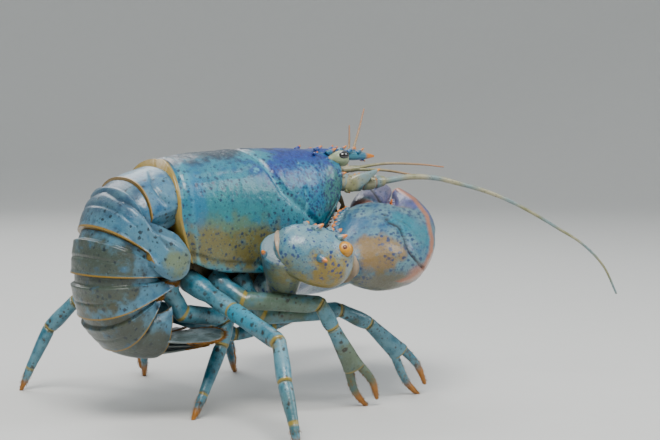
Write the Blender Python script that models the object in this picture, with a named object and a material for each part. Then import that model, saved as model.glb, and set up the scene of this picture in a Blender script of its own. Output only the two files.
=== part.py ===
"""American lobster, life size, standing on its walking legs with the abdomen curled under.

Body frame: X forward, Y to the animal's left, Z up, millimetres, with the origin at the middle of
the carapace's rear edge. The placing empty at the end sets the model on the floor, in metres.
"""

import math

import bmesh
import bpy
from mathutils import Vector
from mathutils.bvhtree import BVHTree

# Driving dimensions, in millimetres.
MM = 0.001
CARAPACE_LENGTH = 100.0
ROSTRUM_TIP_X = 135.0
CARAPACE_HALF_WIDTH = 27.5
FLOOR_Z = -126.0
JOINT_GAP = 0.36
CARVE_GAP = 0.34
WELDS = [0.03, 0.015, 0.006, 0.002, 0.0005]
FOOT_RADIUS = 0.9
PLACE_X = -103.5
PLACE_Y = 2.0

# The six abdomen segments and the telson along the back: length and heading in degrees,
# where 180 runs straight back and 270 straight down.
ABDOMEN_START = (-1.6, -2.6)
ABDOMEN_LENGTHS = [20.8, 29.0, 23.0, 21.5, 20.0, 20.5]
ABDOMEN_HEADINGS = [196.5, 234.0, 258.0, 279.0, 308.0, 345.0]
TELSON_LENGTH = 33.0
TELSON_HEADING = 362.0
ABDOMEN_HALF_WIDTHS = [24.5, 26.5, 25.5, 24.5, 23.0, 21.0]
ABDOMEN_BODY_DEPTHS = [24.0, 25.5, 25.0, 23.5, 21.5, 19.5]
PLEURON_DEPTHS = [28.0, 46.0, 36.5, 41.0, 31.0, 27.0]
# Tips of the second segment's broad side lobe, for each share along the segment: distance along and
# depth below the middle of the segment's back, along the heading SECOND_LOBE_HEADING.
SECOND_LOBE_HEADING = 209.0
SECOND_LOBE = [(0.0, -15.5, 28.5), (0.2, -17.0, 36.0), (0.28, -15.5, 40.5), (0.46, -11.0, 46.0), (0.66, -4.5, 46.5),
               (0.86, 1.5, 41.0), (1.0, 5.0, 32.0)]


COLOURS = {
    "shell_blue": ((0.13, 0.34, 0.42), 0.35),
    "shell_pale": ((0.30, 0.50, 0.52), 0.4),
    "claw_blue": ((0.15, 0.30, 0.45), 0.35),
    "leg_blue": ((0.20, 0.45, 0.50), 0.4),
    "underside": ((0.45, 0.42, 0.30), 0.55),
    "feeler": ((0.36, 0.34, 0.22), 0.5),
    "eye_black": ((0.01, 0.01, 0.012), 0.08),
}


def removeAll():
    for thing in list(bpy.data.objects):
        bpy.data.objects.remove(thing, do_unlink=True)


def material(name):
    found = bpy.data.materials.get(name)
    if found:
        return found
    made = bpy.data.materials.new(name)
    made.use_nodes = True
    shader = made.node_tree.nodes["Principled BSDF"]
    colour, roughness = COLOURS[name]
    shader.inputs["Base Color"].default_value = (*colour, 1.0)
    shader.inputs["Roughness"].default_value = roughness
    shader.inputs["Metallic"].default_value = 0.0
    return made


def lerp(a, b, t):
    return a + (b - a) * t


def curveThrough(knots, x):
    """Value at x of a smooth monotone-eased curve through (x, value) knots."""
    if x <= knots[0][0]:
        return knots[0][1]
    for (x0, v0), (x1, v1) in zip(knots, knots[1:]):
        if x <= x1:
            t = (x - x0) / (x1 - x0)
            return lerp(v0, v1, t * t * (3 - 2 * t) * 0.5 + t * 0.5)
    return knots[-1][1]


def smoothPath(points, count):
    """Evenly numbered points on a Catmull-Rom curve through the given ones."""
    pts = [Vector(p) for p in points]
    ends = [2 * pts[0] - pts[1]] + pts + [2 * pts[-1] - pts[-2]]
    out = []
    spans = len(pts) - 1
    for i in range(count):
        u = i * spans / (count - 1)
        k = min(int(u), spans - 1)
        t = u - k
        p0, p1, p2, p3 = ends[k : k + 4]
        out.append(
            0.5 * (2 * p1 + (p2 - p0) * t + (2 * p0 - 5 * p1 + 4 * p2 - p3) * t * t
                   + (3 * p1 - p0 - 3 * p2 + p3) * t * t * t)
        )
    return out


def meshObject(name, verts, faces, slot):
    """A closed mesh object from points in millimetres, faces turned outwards."""
    mesh = bpy.data.meshes.new(name)
    mesh.from_pydata([tuple(Vector(v) * MM) for v in verts], [], faces)
    work = bmesh.new()
    work.from_mesh(mesh)
    bmesh.ops.recalc_face_normals(work, faces=work.faces)
    if work.calc_volume(signed=True) < 0:
        bmesh.ops.reverse_faces(work, faces=work.faces)
    work.to_mesh(mesh)
    work.free()
    mesh.shade_smooth()
    mesh.set_sharp_from_angle(angle=math.radians(40))
    obj = bpy.data.objects.new(name, mesh)
    bpy.context.scene.collection.objects.link(obj)
    if slot:
        mesh.materials.append(material(slot))
    return obj


def ringLoft(name, rings, slot):
    """A tube-like closed solid through rings of equal count, each end closed by a fan."""
    count = len(rings[0])
    verts = [p for ring in rings for p in ring]
    faces = []
    for k in range(len(rings) - 1):
        for i in range(count):
            j = (i + 1) % count
            a = k * count
            b = a + count
            faces.append((a + i, a + j, b + j, b + i))
    for ring, start in ((rings[0], 0), (rings[-1], (len(rings) - 1) * count)):
        centre = sum((Vector(p) for p in ring), Vector()) / count
        verts.append(centre)
        hub = len(verts) - 1
        for i in range(count):
            faces.append((start + i, start + (i + 1) % count, hub))
    return meshObject(name, verts, faces, slot)


def slabLoft(name, stations, slot):
    """A closed solid between an outer and an inner sheet: each station is (outer, inner) lists."""
    count = len(stations[0][0])
    verts = []
    for outer, inner in stations:
        verts.extend(outer)
        verts.extend(inner)

    def at(k, side, i):
        return (k * 2 + side) * count + i

    faces = []
    for k in range(len(stations) - 1):
        for side in (0, 1):
            for i in range(count - 1):
                faces.append((at(k, side, i), at(k, side, i + 1), at(k + 1, side, i + 1), at(k + 1, side, i)))
        for i in (0, count - 1):
            faces.append((at(k, 0, i), at(k + 1, 0, i), at(k + 1, 1, i), at(k, 1, i)))
    for k in (0, len(stations) - 1):
        for i in range(count - 1):
            faces.append((at(k, 0, i), at(k, 0, i + 1), at(k, 1, i + 1), at(k, 1, i)))
    return meshObject(name, verts, faces, slot)


def largestSurface(obj):
    """Welds a cut's shortest edges and keeps only the largest closed surface of an object's mesh."""
    for reach in WELDS:
        work = bmesh.new()
        work.from_mesh(obj.data)
        bmesh.ops.triangulate(work, faces=work.faces)
        bmesh.ops.remove_doubles(work, verts=work.verts, dist=reach * MM)
        bmesh.ops.dissolve_degenerate(work, edges=work.edges, dist=reach * MM)
        bmesh.ops.triangulate(work, faces=work.faces)
        if all(len(edge.link_faces) == 2 for edge in work.edges):
            break
        if reach != WELDS[-1]:
            work.free()
    left = set(work.faces)
    groups = []
    while left:
        seed = left.pop()
        group = {seed}
        stack = [seed]
        while stack:
            face = stack.pop()
            for edge in face.edges:
                for other in edge.link_faces:
                    if other in left:
                        left.discard(other)
                        group.add(other)
                        stack.append(other)
        groups.append(group)

    def spread(group):
        xs = [v.co for f in group for v in f.verts]
        return sum(max(c[i] for c in xs) - min(c[i] for c in xs) for i in range(3))

    groups.sort(key=spread, reverse=True)
    loose = [f for group in groups[1:] for f in group]
    if loose:
        bmesh.ops.delete(work, geom=loose, context="FACES")
        stray = [v for v in work.verts if not v.link_faces]
        bmesh.ops.delete(work, geom=stray, context="VERTS")
    bmesh.ops.recalc_face_normals(work, faces=work.faces)
    if work.calc_volume(signed=True) < 0:
        bmesh.ops.reverse_faces(work, faces=work.faces)
    work.to_mesh(obj.data)
    work.free()


def fuse(obj, pieces, solver="MANIFOLD"):
    """Boolean union of the pieces into obj, applied, with the pieces then removed."""
    if not pieces:
        return obj
    group = bpy.data.collections.new(obj.name + "_pieces")
    bpy.context.scene.collection.children.link(group)
    for piece in pieces:
        bpy.context.scene.collection.objects.unlink(piece)
        group.objects.link(piece)
    join = obj.modifiers.new("join", "BOOLEAN")
    join.operation = "UNION"
    join.operand_type = "COLLECTION"
    join.collection = group
    join.solver = solver
    bpy.context.view_layer.update()
    result = bpy.data.meshes.new_from_object(obj.evaluated_get(bpy.context.evaluated_depsgraph_get()))
    obj.modifiers.remove(join)
    name = obj.data.name
    obj.data = result
    result.name = name
    for piece in list(group.objects):
        bpy.data.objects.remove(piece, do_unlink=True)
    bpy.data.collections.remove(group)
    largestSurface(obj)
    return obj


def cutAway(obj, cutter, solver="MANIFOLD"):
    """Takes the cutter's volume from obj and removes the cutter."""
    cutter.hide_render = True
    cutter.display_type = "WIRE"
    cut = obj.modifiers.new("cut", "BOOLEAN")
    cut.operation = "DIFFERENCE"
    cut.object = cutter
    cut.solver = solver
    bpy.context.view_layer.update()
    result = bpy.data.meshes.new_from_object(obj.evaluated_get(bpy.context.evaluated_depsgraph_get()))
    obj.modifiers.remove(cut)
    name = obj.data.name
    obj.data = result
    result.name = name
    bpy.data.objects.remove(cutter, do_unlink=True)
    largestSurface(obj)


def carve(obj, others):
    """Cuts obj back from its neighbours, leaving the joint gap between the faces."""
    for other in others:
        mesh = other.data.copy()
        grown = bmesh.new()
        grown.from_mesh(mesh)
        bmesh.ops.triangulate(grown, faces=grown.faces)
        grown.normal_update()
        moved = [v.co + v.normal * (CARVE_GAP * MM * min(v.calc_shell_factor(), 1.6)) for v in grown.verts]
        for v, co in zip(grown.verts, moved):
            v.co = co
        grown.to_mesh(mesh)
        grown.free()
        cutter = bpy.data.objects.new("cutter", mesh)
        bpy.context.scene.collection.objects.link(cutter)
        cutAway(obj, cutter)
    return obj


def surfacePoint(obj, target, outward):
    """The outermost point of obj, in millimetres, met on the line through target along outward."""
    tree = BVHTree.FromPolygons([v.co for v in obj.data.vertices], [f.vertices for f in obj.data.polygons])
    outward = Vector(outward).normalized()
    start = (Vector(target) + outward * 80.0) * MM
    found, normal, _, _ = tree.ray_cast(start, -outward, 0.16)
    if found is None:
        return None, None
    return found / MM, normal


def studs(obj, entries, bent=0.0):
    """Fuses spines and bumps on obj: each is (kind, target, outward, lean, length, radius)."""
    pieces = []
    for kind, target, outward, lean, length, radius in entries:
        point, normal = surfacePoint(obj, target, outward)
        if point is None:
            continue
        aim = (normal + Vector(lean)).normalized()
        if kind == "spine":
            pieces.append(spine(point, aim, length, radius, sink=min(1.6, radius), bend=Vector(lean) * bent))
        else:
            pieces.append(bump(point, aim, radius, length))
    return fuse(obj, pieces)


def ellipse(centre, across, up, halfAcross, halfUp, sides, power=1.0):
    """Points of an ellipse, or with power under 1 of a boxier oval, in the plane of two axes."""
    out = []
    for i in range(sides):
        angle = 2 * math.pi * i / sides
        c, s = math.cos(angle), math.sin(angle)
        c = math.copysign(abs(c) ** power, c)
        s = math.copysign(abs(s) ** power, s)
        out.append(centre + across * (halfAcross * c) + up * (halfUp * s))
    return out


def ontoPlane(points, along, origin, normal, offset=0.0):
    """Slides points along a direction until they lie in a plane."""
    slope = along.dot(normal)
    return [p + along * ((origin - p).dot(normal) / slope + offset) for p in points]


def spine(base, direction, length, radius, sides=5, sink=1.2, bend=(0, 0, 0)):
    """A tapered spine, its root sunk below the surface that it stands on."""
    direction = Vector(direction).normalized()
    side = direction.orthogonal().normalized()
    up = direction.cross(side)
    rings = []
    for along, width in ((-sink, 1.12), (0.45 * length, 0.66), (length, 0.14)):
        share = max(along, 0.0) / length
        centre = Vector(base) + direction * along + Vector(bend) * share * share
        rings.append(ellipse(centre, side, up, radius * width, radius * width, sides))
    return ringLoft("spine", rings, None)


def bump(base, direction, radius, height, sides=6, sink=1.2):
    """A low rounded tubercle or tooth."""
    direction = Vector(direction).normalized()
    side = direction.orthogonal().normalized()
    up = direction.cross(side)
    rings = []
    for along, width in ((-sink, 1.0), (height * 0.55, 0.86), (height, 0.32)):
        rings.append(ellipse(Vector(base) + direction * along, side, up, radius * width, radius * width, sides))
    return ringLoft("bump", rings, None)


def tube(name, points, radii, sides, slot, face=None):
    """A tapering tube along points, with frames carried along the path; face is the x of its root."""
    pts = [Vector(p) for p in points]
    rings = []
    side = None
    for k, p in enumerate(pts):
        along = (pts[min(k + 1, len(pts) - 1)] - pts[max(k - 1, 0)]).normalized()
        if side is None:
            side = along.orthogonal().normalized()
        side = (side - along * side.dot(along)).normalized()
        up = along.cross(side)
        rings.append(ellipse(p, side, up, radii[k], radii[k], sides))
    if face is not None:
        way = (pts[1] - pts[0]).normalized()
        rings[0] = ontoPlane(rings[0], way, Vector((face, 0, 0)), Vector((1, 0, 0)))
    return ringLoft(name, rings, slot)


# Carapace

CARAPACE_TOP = [(-9, -1.5), (0, 0.0), (20, 2.6), (50, 4.2), (75, 4.0), (90, 3.0), (100, 1.2)]
CARAPACE_WIDTH = [(-9, 25.2), (8, 26.8), (35, CARAPACE_HALF_WIDTH), (60, 27.0), (78, 24.6), (92, 20.4), (100, 17.4)]
CARAPACE_LOW = [(-9, -46.0), (0, -50.0), (25, -55.5), (48, -57.0), (62, -54.5), (76, -47.0), (88, -36.5),
                (95, -29.5), (100, -22.5)]
CARAPACE_WIDEST = [(-9, -27.0), (50, -30.0), (76, -27.0), (100, -13.0)]
CARAPACE_CLOSE_LIFT = 7.5
GROOVES = [
    # Cervical groove, from the middle of the back down the flank, then two shorter furrows.
    ([(46, 4), (48.5, -1), (52, -9), (56, -17), (63, -23), (69.5, -27), (81, -36.5)], 1.3, 2.1),
    ([(71, -17), (72, -22), (70, -27)], 0.8, 1.6),
    ([(3, -9), (18, -8.2), (34, -7.0), (47, -4)], 0.5, 1.6),
]
SIDE_ANGLES = [0, 11, 23, 35, 47, 59, 70, 80, 90]
SIDE_DROPS = [0.2, 0.4, 0.6, 0.78, 0.9, 1.0]


def nearPolyline(x, z, line):
    best = 1e9
    for (x0, z0), (x1, z1) in zip(line, line[1:]):
        dx, dz = x1 - x0, z1 - z0
        t = max(0.0, min(1.0, ((x - x0) * dx + (z - z0) * dz) / (dx * dx + dz * dz)))
        best = min(best, math.hypot(x - x0 - dx * t, z - z0 - dz * t))
    return best


def carapaceHalf(x):
    """Points of one flank (y taken positive), from the back's middle line to the lower margin."""
    top = curveThrough(CARAPACE_TOP, x)
    wide = curveThrough(CARAPACE_WIDTH, x)
    low = curveThrough(CARAPACE_LOW, x)
    widest = curveThrough(CARAPACE_WIDEST, x)
    points = []
    for degrees in SIDE_ANGLES:
        a = math.radians(degrees)
        points.append([x, wide * math.sin(a) ** 0.92, widest + (top - widest) * math.cos(a) ** 0.84])
    for drop in SIDE_DROPS:
        points.append([x, wide * (1 - 0.13 * drop ** 2.2), lerp(widest, low, drop)])
    return points


def carapaceRing(x):
    """Closed ring across the carapace at x: over the back from right margin to left, then the underside."""
    half = carapaceHalf(x)
    fade = max(0.0, 1.0 - (x + 1.0) / 13.0)
    low = half[-1]
    outer = []
    for px, y, z in half:
        depth = 0.0
        for line, deep, broad in GROOVES:
            depth += deep * math.exp(-((nearPolyline(px, z, line) / broad) ** 2))
        above = z - low[2]
        band = 0.7 * math.exp(-(((above - 4.2) / 1.3) ** 2))
        if y < 2.0 and x < 92:
            depth += 0.35
        rear = 0.8 * math.exp(-(((px - 1.5) / 1.6) ** 2))
        inward = Vector((0, -y, -28.0 - z)).normalized() * (depth + band + rear)
        shift = 4.0 * (1 - math.exp(-((y / 15.0) ** 2))) - 9.0 * max(0.0, (-26.0 - z) / 24.0) ** 1.3
        outer.append(Vector((px - shift * fade, y, z)) + inward)
    edge = outer[-1]
    closeZ = low[2] + CARAPACE_CLOSE_LIFT
    inner = [Vector((edge.x, edge.y - 2.2, low[2] + 0.7)), Vector((edge.x, edge.y - 4.6, closeZ - 1.6)),
             Vector((lerp(edge.x, outer[0].x, 0.5), edge.y * 0.45, closeZ))]
    mirror = lambda pts: [Vector((p.x, -p.y, p.z)) for p in pts]
    middle = Vector((outer[0].x, 0, closeZ + 0.6))
    return mirror(reversed(outer[1:])) + outer + inner + [middle] + mirror(reversed(inner))


def rostrumPiece():
    rings = []
    knots = [(84, 6.5, 2.2, -6.0), (92, 8.0, 3.6, -5.0), (98, 7.6, 3.9, -4.4), (104, 6.0, 3.5, -3.6),
             (112, 4.6, 2.8, -3.6), (120, 3.3, 1.9, -3.5), (128, 2.0, 0.9, -3.0), (ROSTRUM_TIP_X, 0.35, -0.8, -1.9)]
    for x, half, top, bottom in knots:
        middle = (top + bottom) / 2
        ring = [Vector((x, -half, middle)), Vector((x, -half * 0.72, top)), Vector((x, -half * 0.3, top - 0.5)),
                Vector((x, half * 0.3, top - 0.5)), Vector((x, half * 0.72, top)), Vector((x, half, middle)),
                Vector((x, half * 0.5, bottom)), Vector((x, -half * 0.5, bottom))]
        rings.append(ring)
    return ringLoft("rostrum", rings, None)


def carapace():
    xs = [-1.0, 0.6, 2.4, 5.0, 10, 17, 25, 33, 40, 44, 46.5, 49, 51.5, 54, 57, 60, 63.5, 67, 70.5, 74, 77.5, 81, 85,
          89, 93, 96.5, CARAPACE_LENGTH]
    body = ringLoft("carapace", [carapaceRing(x) for x in xs], "shell_blue")
    for side in (-1, 1):
        rings = []
        for x, y, radius in ((95.4, 9.6, 3.4), (96.6, 9.9, 4.3), (99.0, 10.6, 5.0), (103.0, 11.6, 5.6)):
            rings.append(ellipse(Vector((x, side * y, -1.4)), Vector((0, 1, 0)), Vector((0, 0, 1)), radius, radius * 0.92, 12))
        cutAway(body, ringLoft("orbit", rings, None))
    pieces = [rostrumPiece()]
    for side in (-1, 1):
        for x, y, length, width in ((108.5, 5.2, 4.6, 1.5), (115.5, 4.2, 4.4, 1.4), (122.5, 3.0, 4.0, 1.2)):
            pieces.append(spine((x, side * (y - 0.8), 2.2 - (x - 108) * 0.09), (0.8, side * 0.35, 0.62), length, width))
        pieces.append(spine((97.0, side * 9.5, 1.2), (0.85, side * 0.25, 0.5), 5.0, 1.7))
        pieces.append(spine((90.0, side * 8.5, 3.0), (0.8, side * 0.2, 0.6), 3.4, 1.4))
        pieces.append(spine((97.5, side * 16.6, -10.0), (0.93, side * 0.3, 0.25), 5.0, 1.8))
        pieces.append(spine((126.0, side * 1.0, -2.6), (0.8, side * 0.1, -0.6), 2.6, 0.9))
    return fuse(body, pieces)


def sternum():
    """The underside between the legs, and the mouth region in front of it."""
    rings = []
    knots = [(-11, 9, -44, -56), (-6, 10, -44.5, -61), (20, 9.6, -47.8, -63), (42, 9.4, -49.0, -64.5),
             (54, 10.2, -48.5, -70), (63, 9.8, -46.5, -68), (72, 9.8, -42.0, -60), (82, 9.6, -34.5, -52.5), (90, 9.0, -27.5, -46),
             (97, 8.0, -21.0, -38)]
    for x, half, top, bottom in knots:
        centre = Vector((x, 0, (top + bottom) / 2))
        rings.append(ellipse(centre, Vector((0, 1, 0)), Vector((0, 0, 1)), half, (top - bottom) / 2, 16, 0.6))
    return ringLoft("sternum", rings, "underside")


# Abdomen

def abdomenPath():
    """Dorsal corner points of the segments in the XZ plane, and the heading at each of them."""
    x, z = ABDOMEN_START
    corners = [(x, z)]
    for length, heading in zip(ABDOMEN_LENGTHS, ABDOMEN_HEADINGS):
        a = math.radians(heading)
        x += length * math.cos(a)
        z += length * math.sin(a)
        corners.append((x, z))
    all_headings = ABDOMEN_HEADINGS + [TELSON_HEADING]
    bounds = [184.0]
    for a, b in zip(all_headings, all_headings[1:]):
        bounds.append((a + b) / 2)
    bounds[1] = 186.0
    bounds[2] = 236.0
    return corners, bounds


def segmentFrame(index, t):
    """Dorsal point, travel direction and inward normal at share t along a segment."""
    corners, bounds = abdomenPath()
    (x0, z0), (x1, z1) = corners[index], corners[index + 1]
    h0, h1 = bounds[index], bounds[index + 1]
    heading = math.radians(lerp(h0, h1, t))
    chord = math.hypot(x1 - x0, z1 - z0)
    sagitta = chord * math.radians(h1 - h0) / 8
    middle = math.radians(ABDOMEN_HEADINGS[index])
    bulge = 4 * t * (1 - t) * sagitta
    outward = Vector((-math.cos(middle + math.pi / 2), 0, -math.sin(middle + math.pi / 2)))
    point = Vector((lerp(x0, x1, t), 0, lerp(z0, z1, t))) + outward * bulge
    travel = Vector((math.cos(heading), 0, math.sin(heading)))
    inward = Vector((math.cos(heading + math.pi / 2), 0, math.sin(heading + math.pi / 2)))
    return point, travel, inward


def pleuronTip(index, t, point, travel, inward):
    """Where the side lobe of a segment ends, for share t along it, in the XZ plane."""
    deepest = PLEURON_DEPTHS[index]
    body = ABDOMEN_BODY_DEPTHS[index]
    if index == 0:
        rise = math.sin(math.pi * min(1, 0.15 + 0.8 * t)) ** 0.6
        return point + inward * lerp(body * 0.9, deepest, rise)
    if index == 1:
        middle, _, _ = segmentFrame(index, 0.5)
        a = math.radians(SECOND_LOBE_HEADING)
        along = curveThrough([(share, x) for share, x, _ in SECOND_LOBE], t)
        depth = curveThrough([(share, d) for share, _, d in SECOND_LOBE], t)
        heading = Vector((math.cos(a), 0, math.sin(a)))
        return middle + heading * along + Vector((-heading.z, 0, heading.x)) * depth
    if index == 5:
        return point + inward * lerp(body + 3.0, deepest, t ** 1.5)
    rise = (0.25 + 0.75 * t) ** 1.1 * (1 - max(0.0, (t - 0.86) / 0.14) ** 2 * 0.18)
    depth = lerp(body + 2.0, deepest, rise)
    return point + inward * depth


def abdomenSegment(index):
    half = ABDOMEN_HALF_WIDTHS[index]
    body = ABDOMEN_BODY_DEPTHS[index]
    nextHalf = ABDOMEN_HALF_WIDTHS[min(index + 1, 5)]
    shares = [0.0, 0.2, 0.28, 0.46, 0.66, 0.86, 1.0]
    arch = [0, 17, 35, 53, 71, 90]
    lobe = [0.4, 0.78, 1.0]
    spread = {0: -3.6, 1: 2.6}.get(index, -0.4)
    stations = []
    for t in shares:
        point, travel, inward = segmentFrame(index, t)
        point = point + travel * (JOINT_GAP / 2 * (1 if t == 0.0 else (-1 if t == 1.0 else 0)))
        wide = lerp(half, lerp(half, nextHalf, 0.6), t)
        raised = -1.5 if t < 0.27 else (0.5 if t < 0.35 or t > 0.9 else 0.0)
        if index == 0:
            raised = -2.2 if t < 0.2 else 0.0
        if index == 5:
            raised = -1.2 if t < 0.12 else 0.2
        side = wide + raised
        outer, inner = [], []
        for degrees in arch:
            a = math.radians(degrees)
            depth = (body - 5.0) * (1 - math.cos(a) ** 0.9) - raised * math.cos(a)
            outer.append((side * math.sin(a) ** 0.9, point + inward * depth))
            inner.append(((wide - 4.2) * degrees / 90.0, point + inward * (body - 1.2 * math.cos(a))))
        tip = pleuronTip(index, t, point, travel, inward)
        root, rootIn = point + inward * (body - 5.0), point + inward * (body + 0.2)
        for share in lobe:
            y = side + spread * min(1.0, share * 1.6) - 1.2 * share * share
            outer.append((y, root.lerp(tip, share)))
            inner.append((y - lerp(3.6, 1.6, share), rootIn.lerp(tip - inward * 0.5, share)))

        def place(pair, sign):
            return pair[1] + Vector((0, sign * pair[0], 0))

        mirror = lambda pts: [place(p, -1) for p in reversed(pts[1:])] + [place(p, 1) for p in pts]
        stations.append((mirror(outer), mirror(inner)))
    return slabLoft(f"abdomen_{index + 1}", stations, "shell_blue")


def fanBlade(name, root, direction, across, length, widths, thick, plane, sides=12):
    """A flat rounded plate of the tail fan, with a raised middle rib, its root face in the given plane."""
    direction = Vector(direction).normalized()
    across = Vector(across)
    across = (across - direction * across.dot(direction)).normalized()
    up = direction.cross(across)
    rings = []
    shares = [0.0, 0.12, 0.35, 0.6, 0.8, 0.93, 1.0]
    for t, half in zip(shares, widths):
        deep = lerp(thick, thick * 0.45, t)
        centre = Vector(root) + direction * (length * t)
        ring = []
        for i in range(sides):
            a = 2 * math.pi * i / sides
            c, s = math.cos(a), math.sin(a)
            rib = 1.35 if abs(c) < 0.3 else 1.0
            ring.append(centre + across * (half * c) + up * (deep / 2 * s * rib))
        rings.append(ring)
    rings[0] = ontoPlane(rings[0], direction, *plane)
    return ringLoft(name, rings, "shell_pale")


def tailFan():
    corners, bounds = abdomenPath()
    point, travel, inward = segmentFrame(5, 1.0)
    heading = math.radians(TELSON_HEADING)
    ahead = Vector((math.cos(heading), 0, math.sin(heading)))
    lift = Vector((-math.sin(heading), 0, math.cos(heading)))
    plane = (point + travel * (JOINT_GAP / 2), travel)
    fanBlade("telson", point + lift * 3.4, ahead, (0, 1, 0), TELSON_LENGTH, [10.5, 12.0, 12.6, 12.0, 10.4, 7.6, 2.5],
             4.6, plane)
    for side, tag in ((-1, "r"), (1, "l")):
        for kind, yaw, rise, root, length, widths in (
            ("endopod", 15, 7.7, 10.5, 31.0, [3.2, 5.6, 8.0, 9.0, 8.4, 6.2, 2.2]),
            ("exopod", 34, 10.8, 13.0, 31.0, [3.4, 6.2, 9.0, 10.4, 10.0, 7.2, 2.6]),
        ):
            a = math.radians(yaw)
            direction = ahead * math.cos(a) + Vector((0, side, 0)) * math.sin(a) + lift * 0.03
            across = Vector((0, 1, 0)) + lift * (-0.14 * side)
            start = point + lift * rise + Vector((0, side * root, 0))
            fanBlade(f"uropod_{kind}_{tag}", start, direction, across, length, widths, 2.6, plane)


# Limbs

class Limb:
    """Rings along a jointed limb; the ends at each joint lie in the plane that halves the bend."""

    def __init__(self, joints, hinge, sides=10):
        self.joints = [Vector(p) for p in joints]
        self.hinge = Vector(hinge).normalized()
        self.sides = sides

    def direction(self, k):
        return (self.joints[k + 1] - self.joints[k]).normalized()

    def plane(self, k):
        if k == 0:
            return self.direction(0)
        if k == len(self.joints) - 1:
            return self.direction(k - 1)
        return (self.direction(k - 1) + self.direction(k)).normalized()

    def ring(self, k, share, halfAcross, halfUp):
        along = self.direction(k)
        across = (self.hinge - along * self.hinge.dot(along)).normalized()
        up = along.cross(across)
        centre = self.joints[k].lerp(self.joints[k + 1], share)
        return ellipse(centre, across, up, halfAcross, halfUp, self.sides)

    def part(self, first, last, shapes, gapStart=True, gapEnd=True, footZ=None):
        """Rings from joint first to joint last; shapes[k] lists (share, half across, half up)."""
        rings = []
        for k in range(first, last):
            along = self.direction(k)
            for share, across, up in shapes[k]:
                if share == 0.0 and k > first:
                    continue
                ring = self.ring(k, share, across, up)
                if share == 0.0:
                    gap = JOINT_GAP / 2 if gapStart else 0.0
                    ring = ontoPlane(ring, along, self.joints[k], self.plane(k), gap)
                elif share == 1.0:
                    if k == last - 1 and footZ is not None:
                        ring = ontoPlane(ring, along, Vector((0, 0, footZ)), Vector((0, 0, 1)))
                    else:
                        gap = -JOINT_GAP / 2 if gapEnd and k == last - 1 else 0.0
                        ring = ontoPlane(ring, along, self.joints[k + 1], self.plane(k + 1), gap)
                rings.append(ring)
        return rings


LEG_JOINTS = {
    # Coxa, end of the ischium, knee, end of the carpus, end of the palm or propodus, tip.
    "2_r": [(36.5, -13, -58.5), (46, -22, -78.5), (88, -31, -78), (105, -33, -86), (125, -34, -103), (140, -34, -126)],
    "3_r": [(22, -13, -58.5), (31, -28, -69), (64.5, -45, -72), (71, -47, -84), (84.5, -47, -105.5), (97, -44, -126)],
    "4_r": [(8, -13, -58.5), (14.8, -42, -71.5), (13, -82, -82), (6, -96, -98), (3.5, -106, -115), (1.6, -112, -126)],
    "5_r": [(-6, -13, -58.0), (3, -16, -74.5), (32.2, -12, -79.5), (27, -13.5, -93), (13, -18.5, -115), (5.5, -21, -126)],
    "2_l": [(36.5, 13.0, -58.5), (44, 32, -70), (72, 62, -70), (82, 72, -82), (94, 80, -105), (103, 86, -126)],
    "3_l": [(22, 13.0, -58.5), (26, 38, -68), (38, 76, -70), (43, 90, -82), (49, 100, -105), (54, 106, -126)],
    "4_l": [(8, 13.0, -58.5), (9, 40, -70), (-4, 78, -77), (-12, 92, -92), (-19, 101, -114), (-23, 104, -126)],
    "5_l": [(-6, 13, -58.0), (3, 16, -74), (36, 10, -86), (49, 6, -91), (70, 2, -88), (86, 0, -84)],
}
RAISED_LEGS = ("5_l",)
CHELATE_LEGS = ("2_r", "3_r", "2_l", "3_l")


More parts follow.
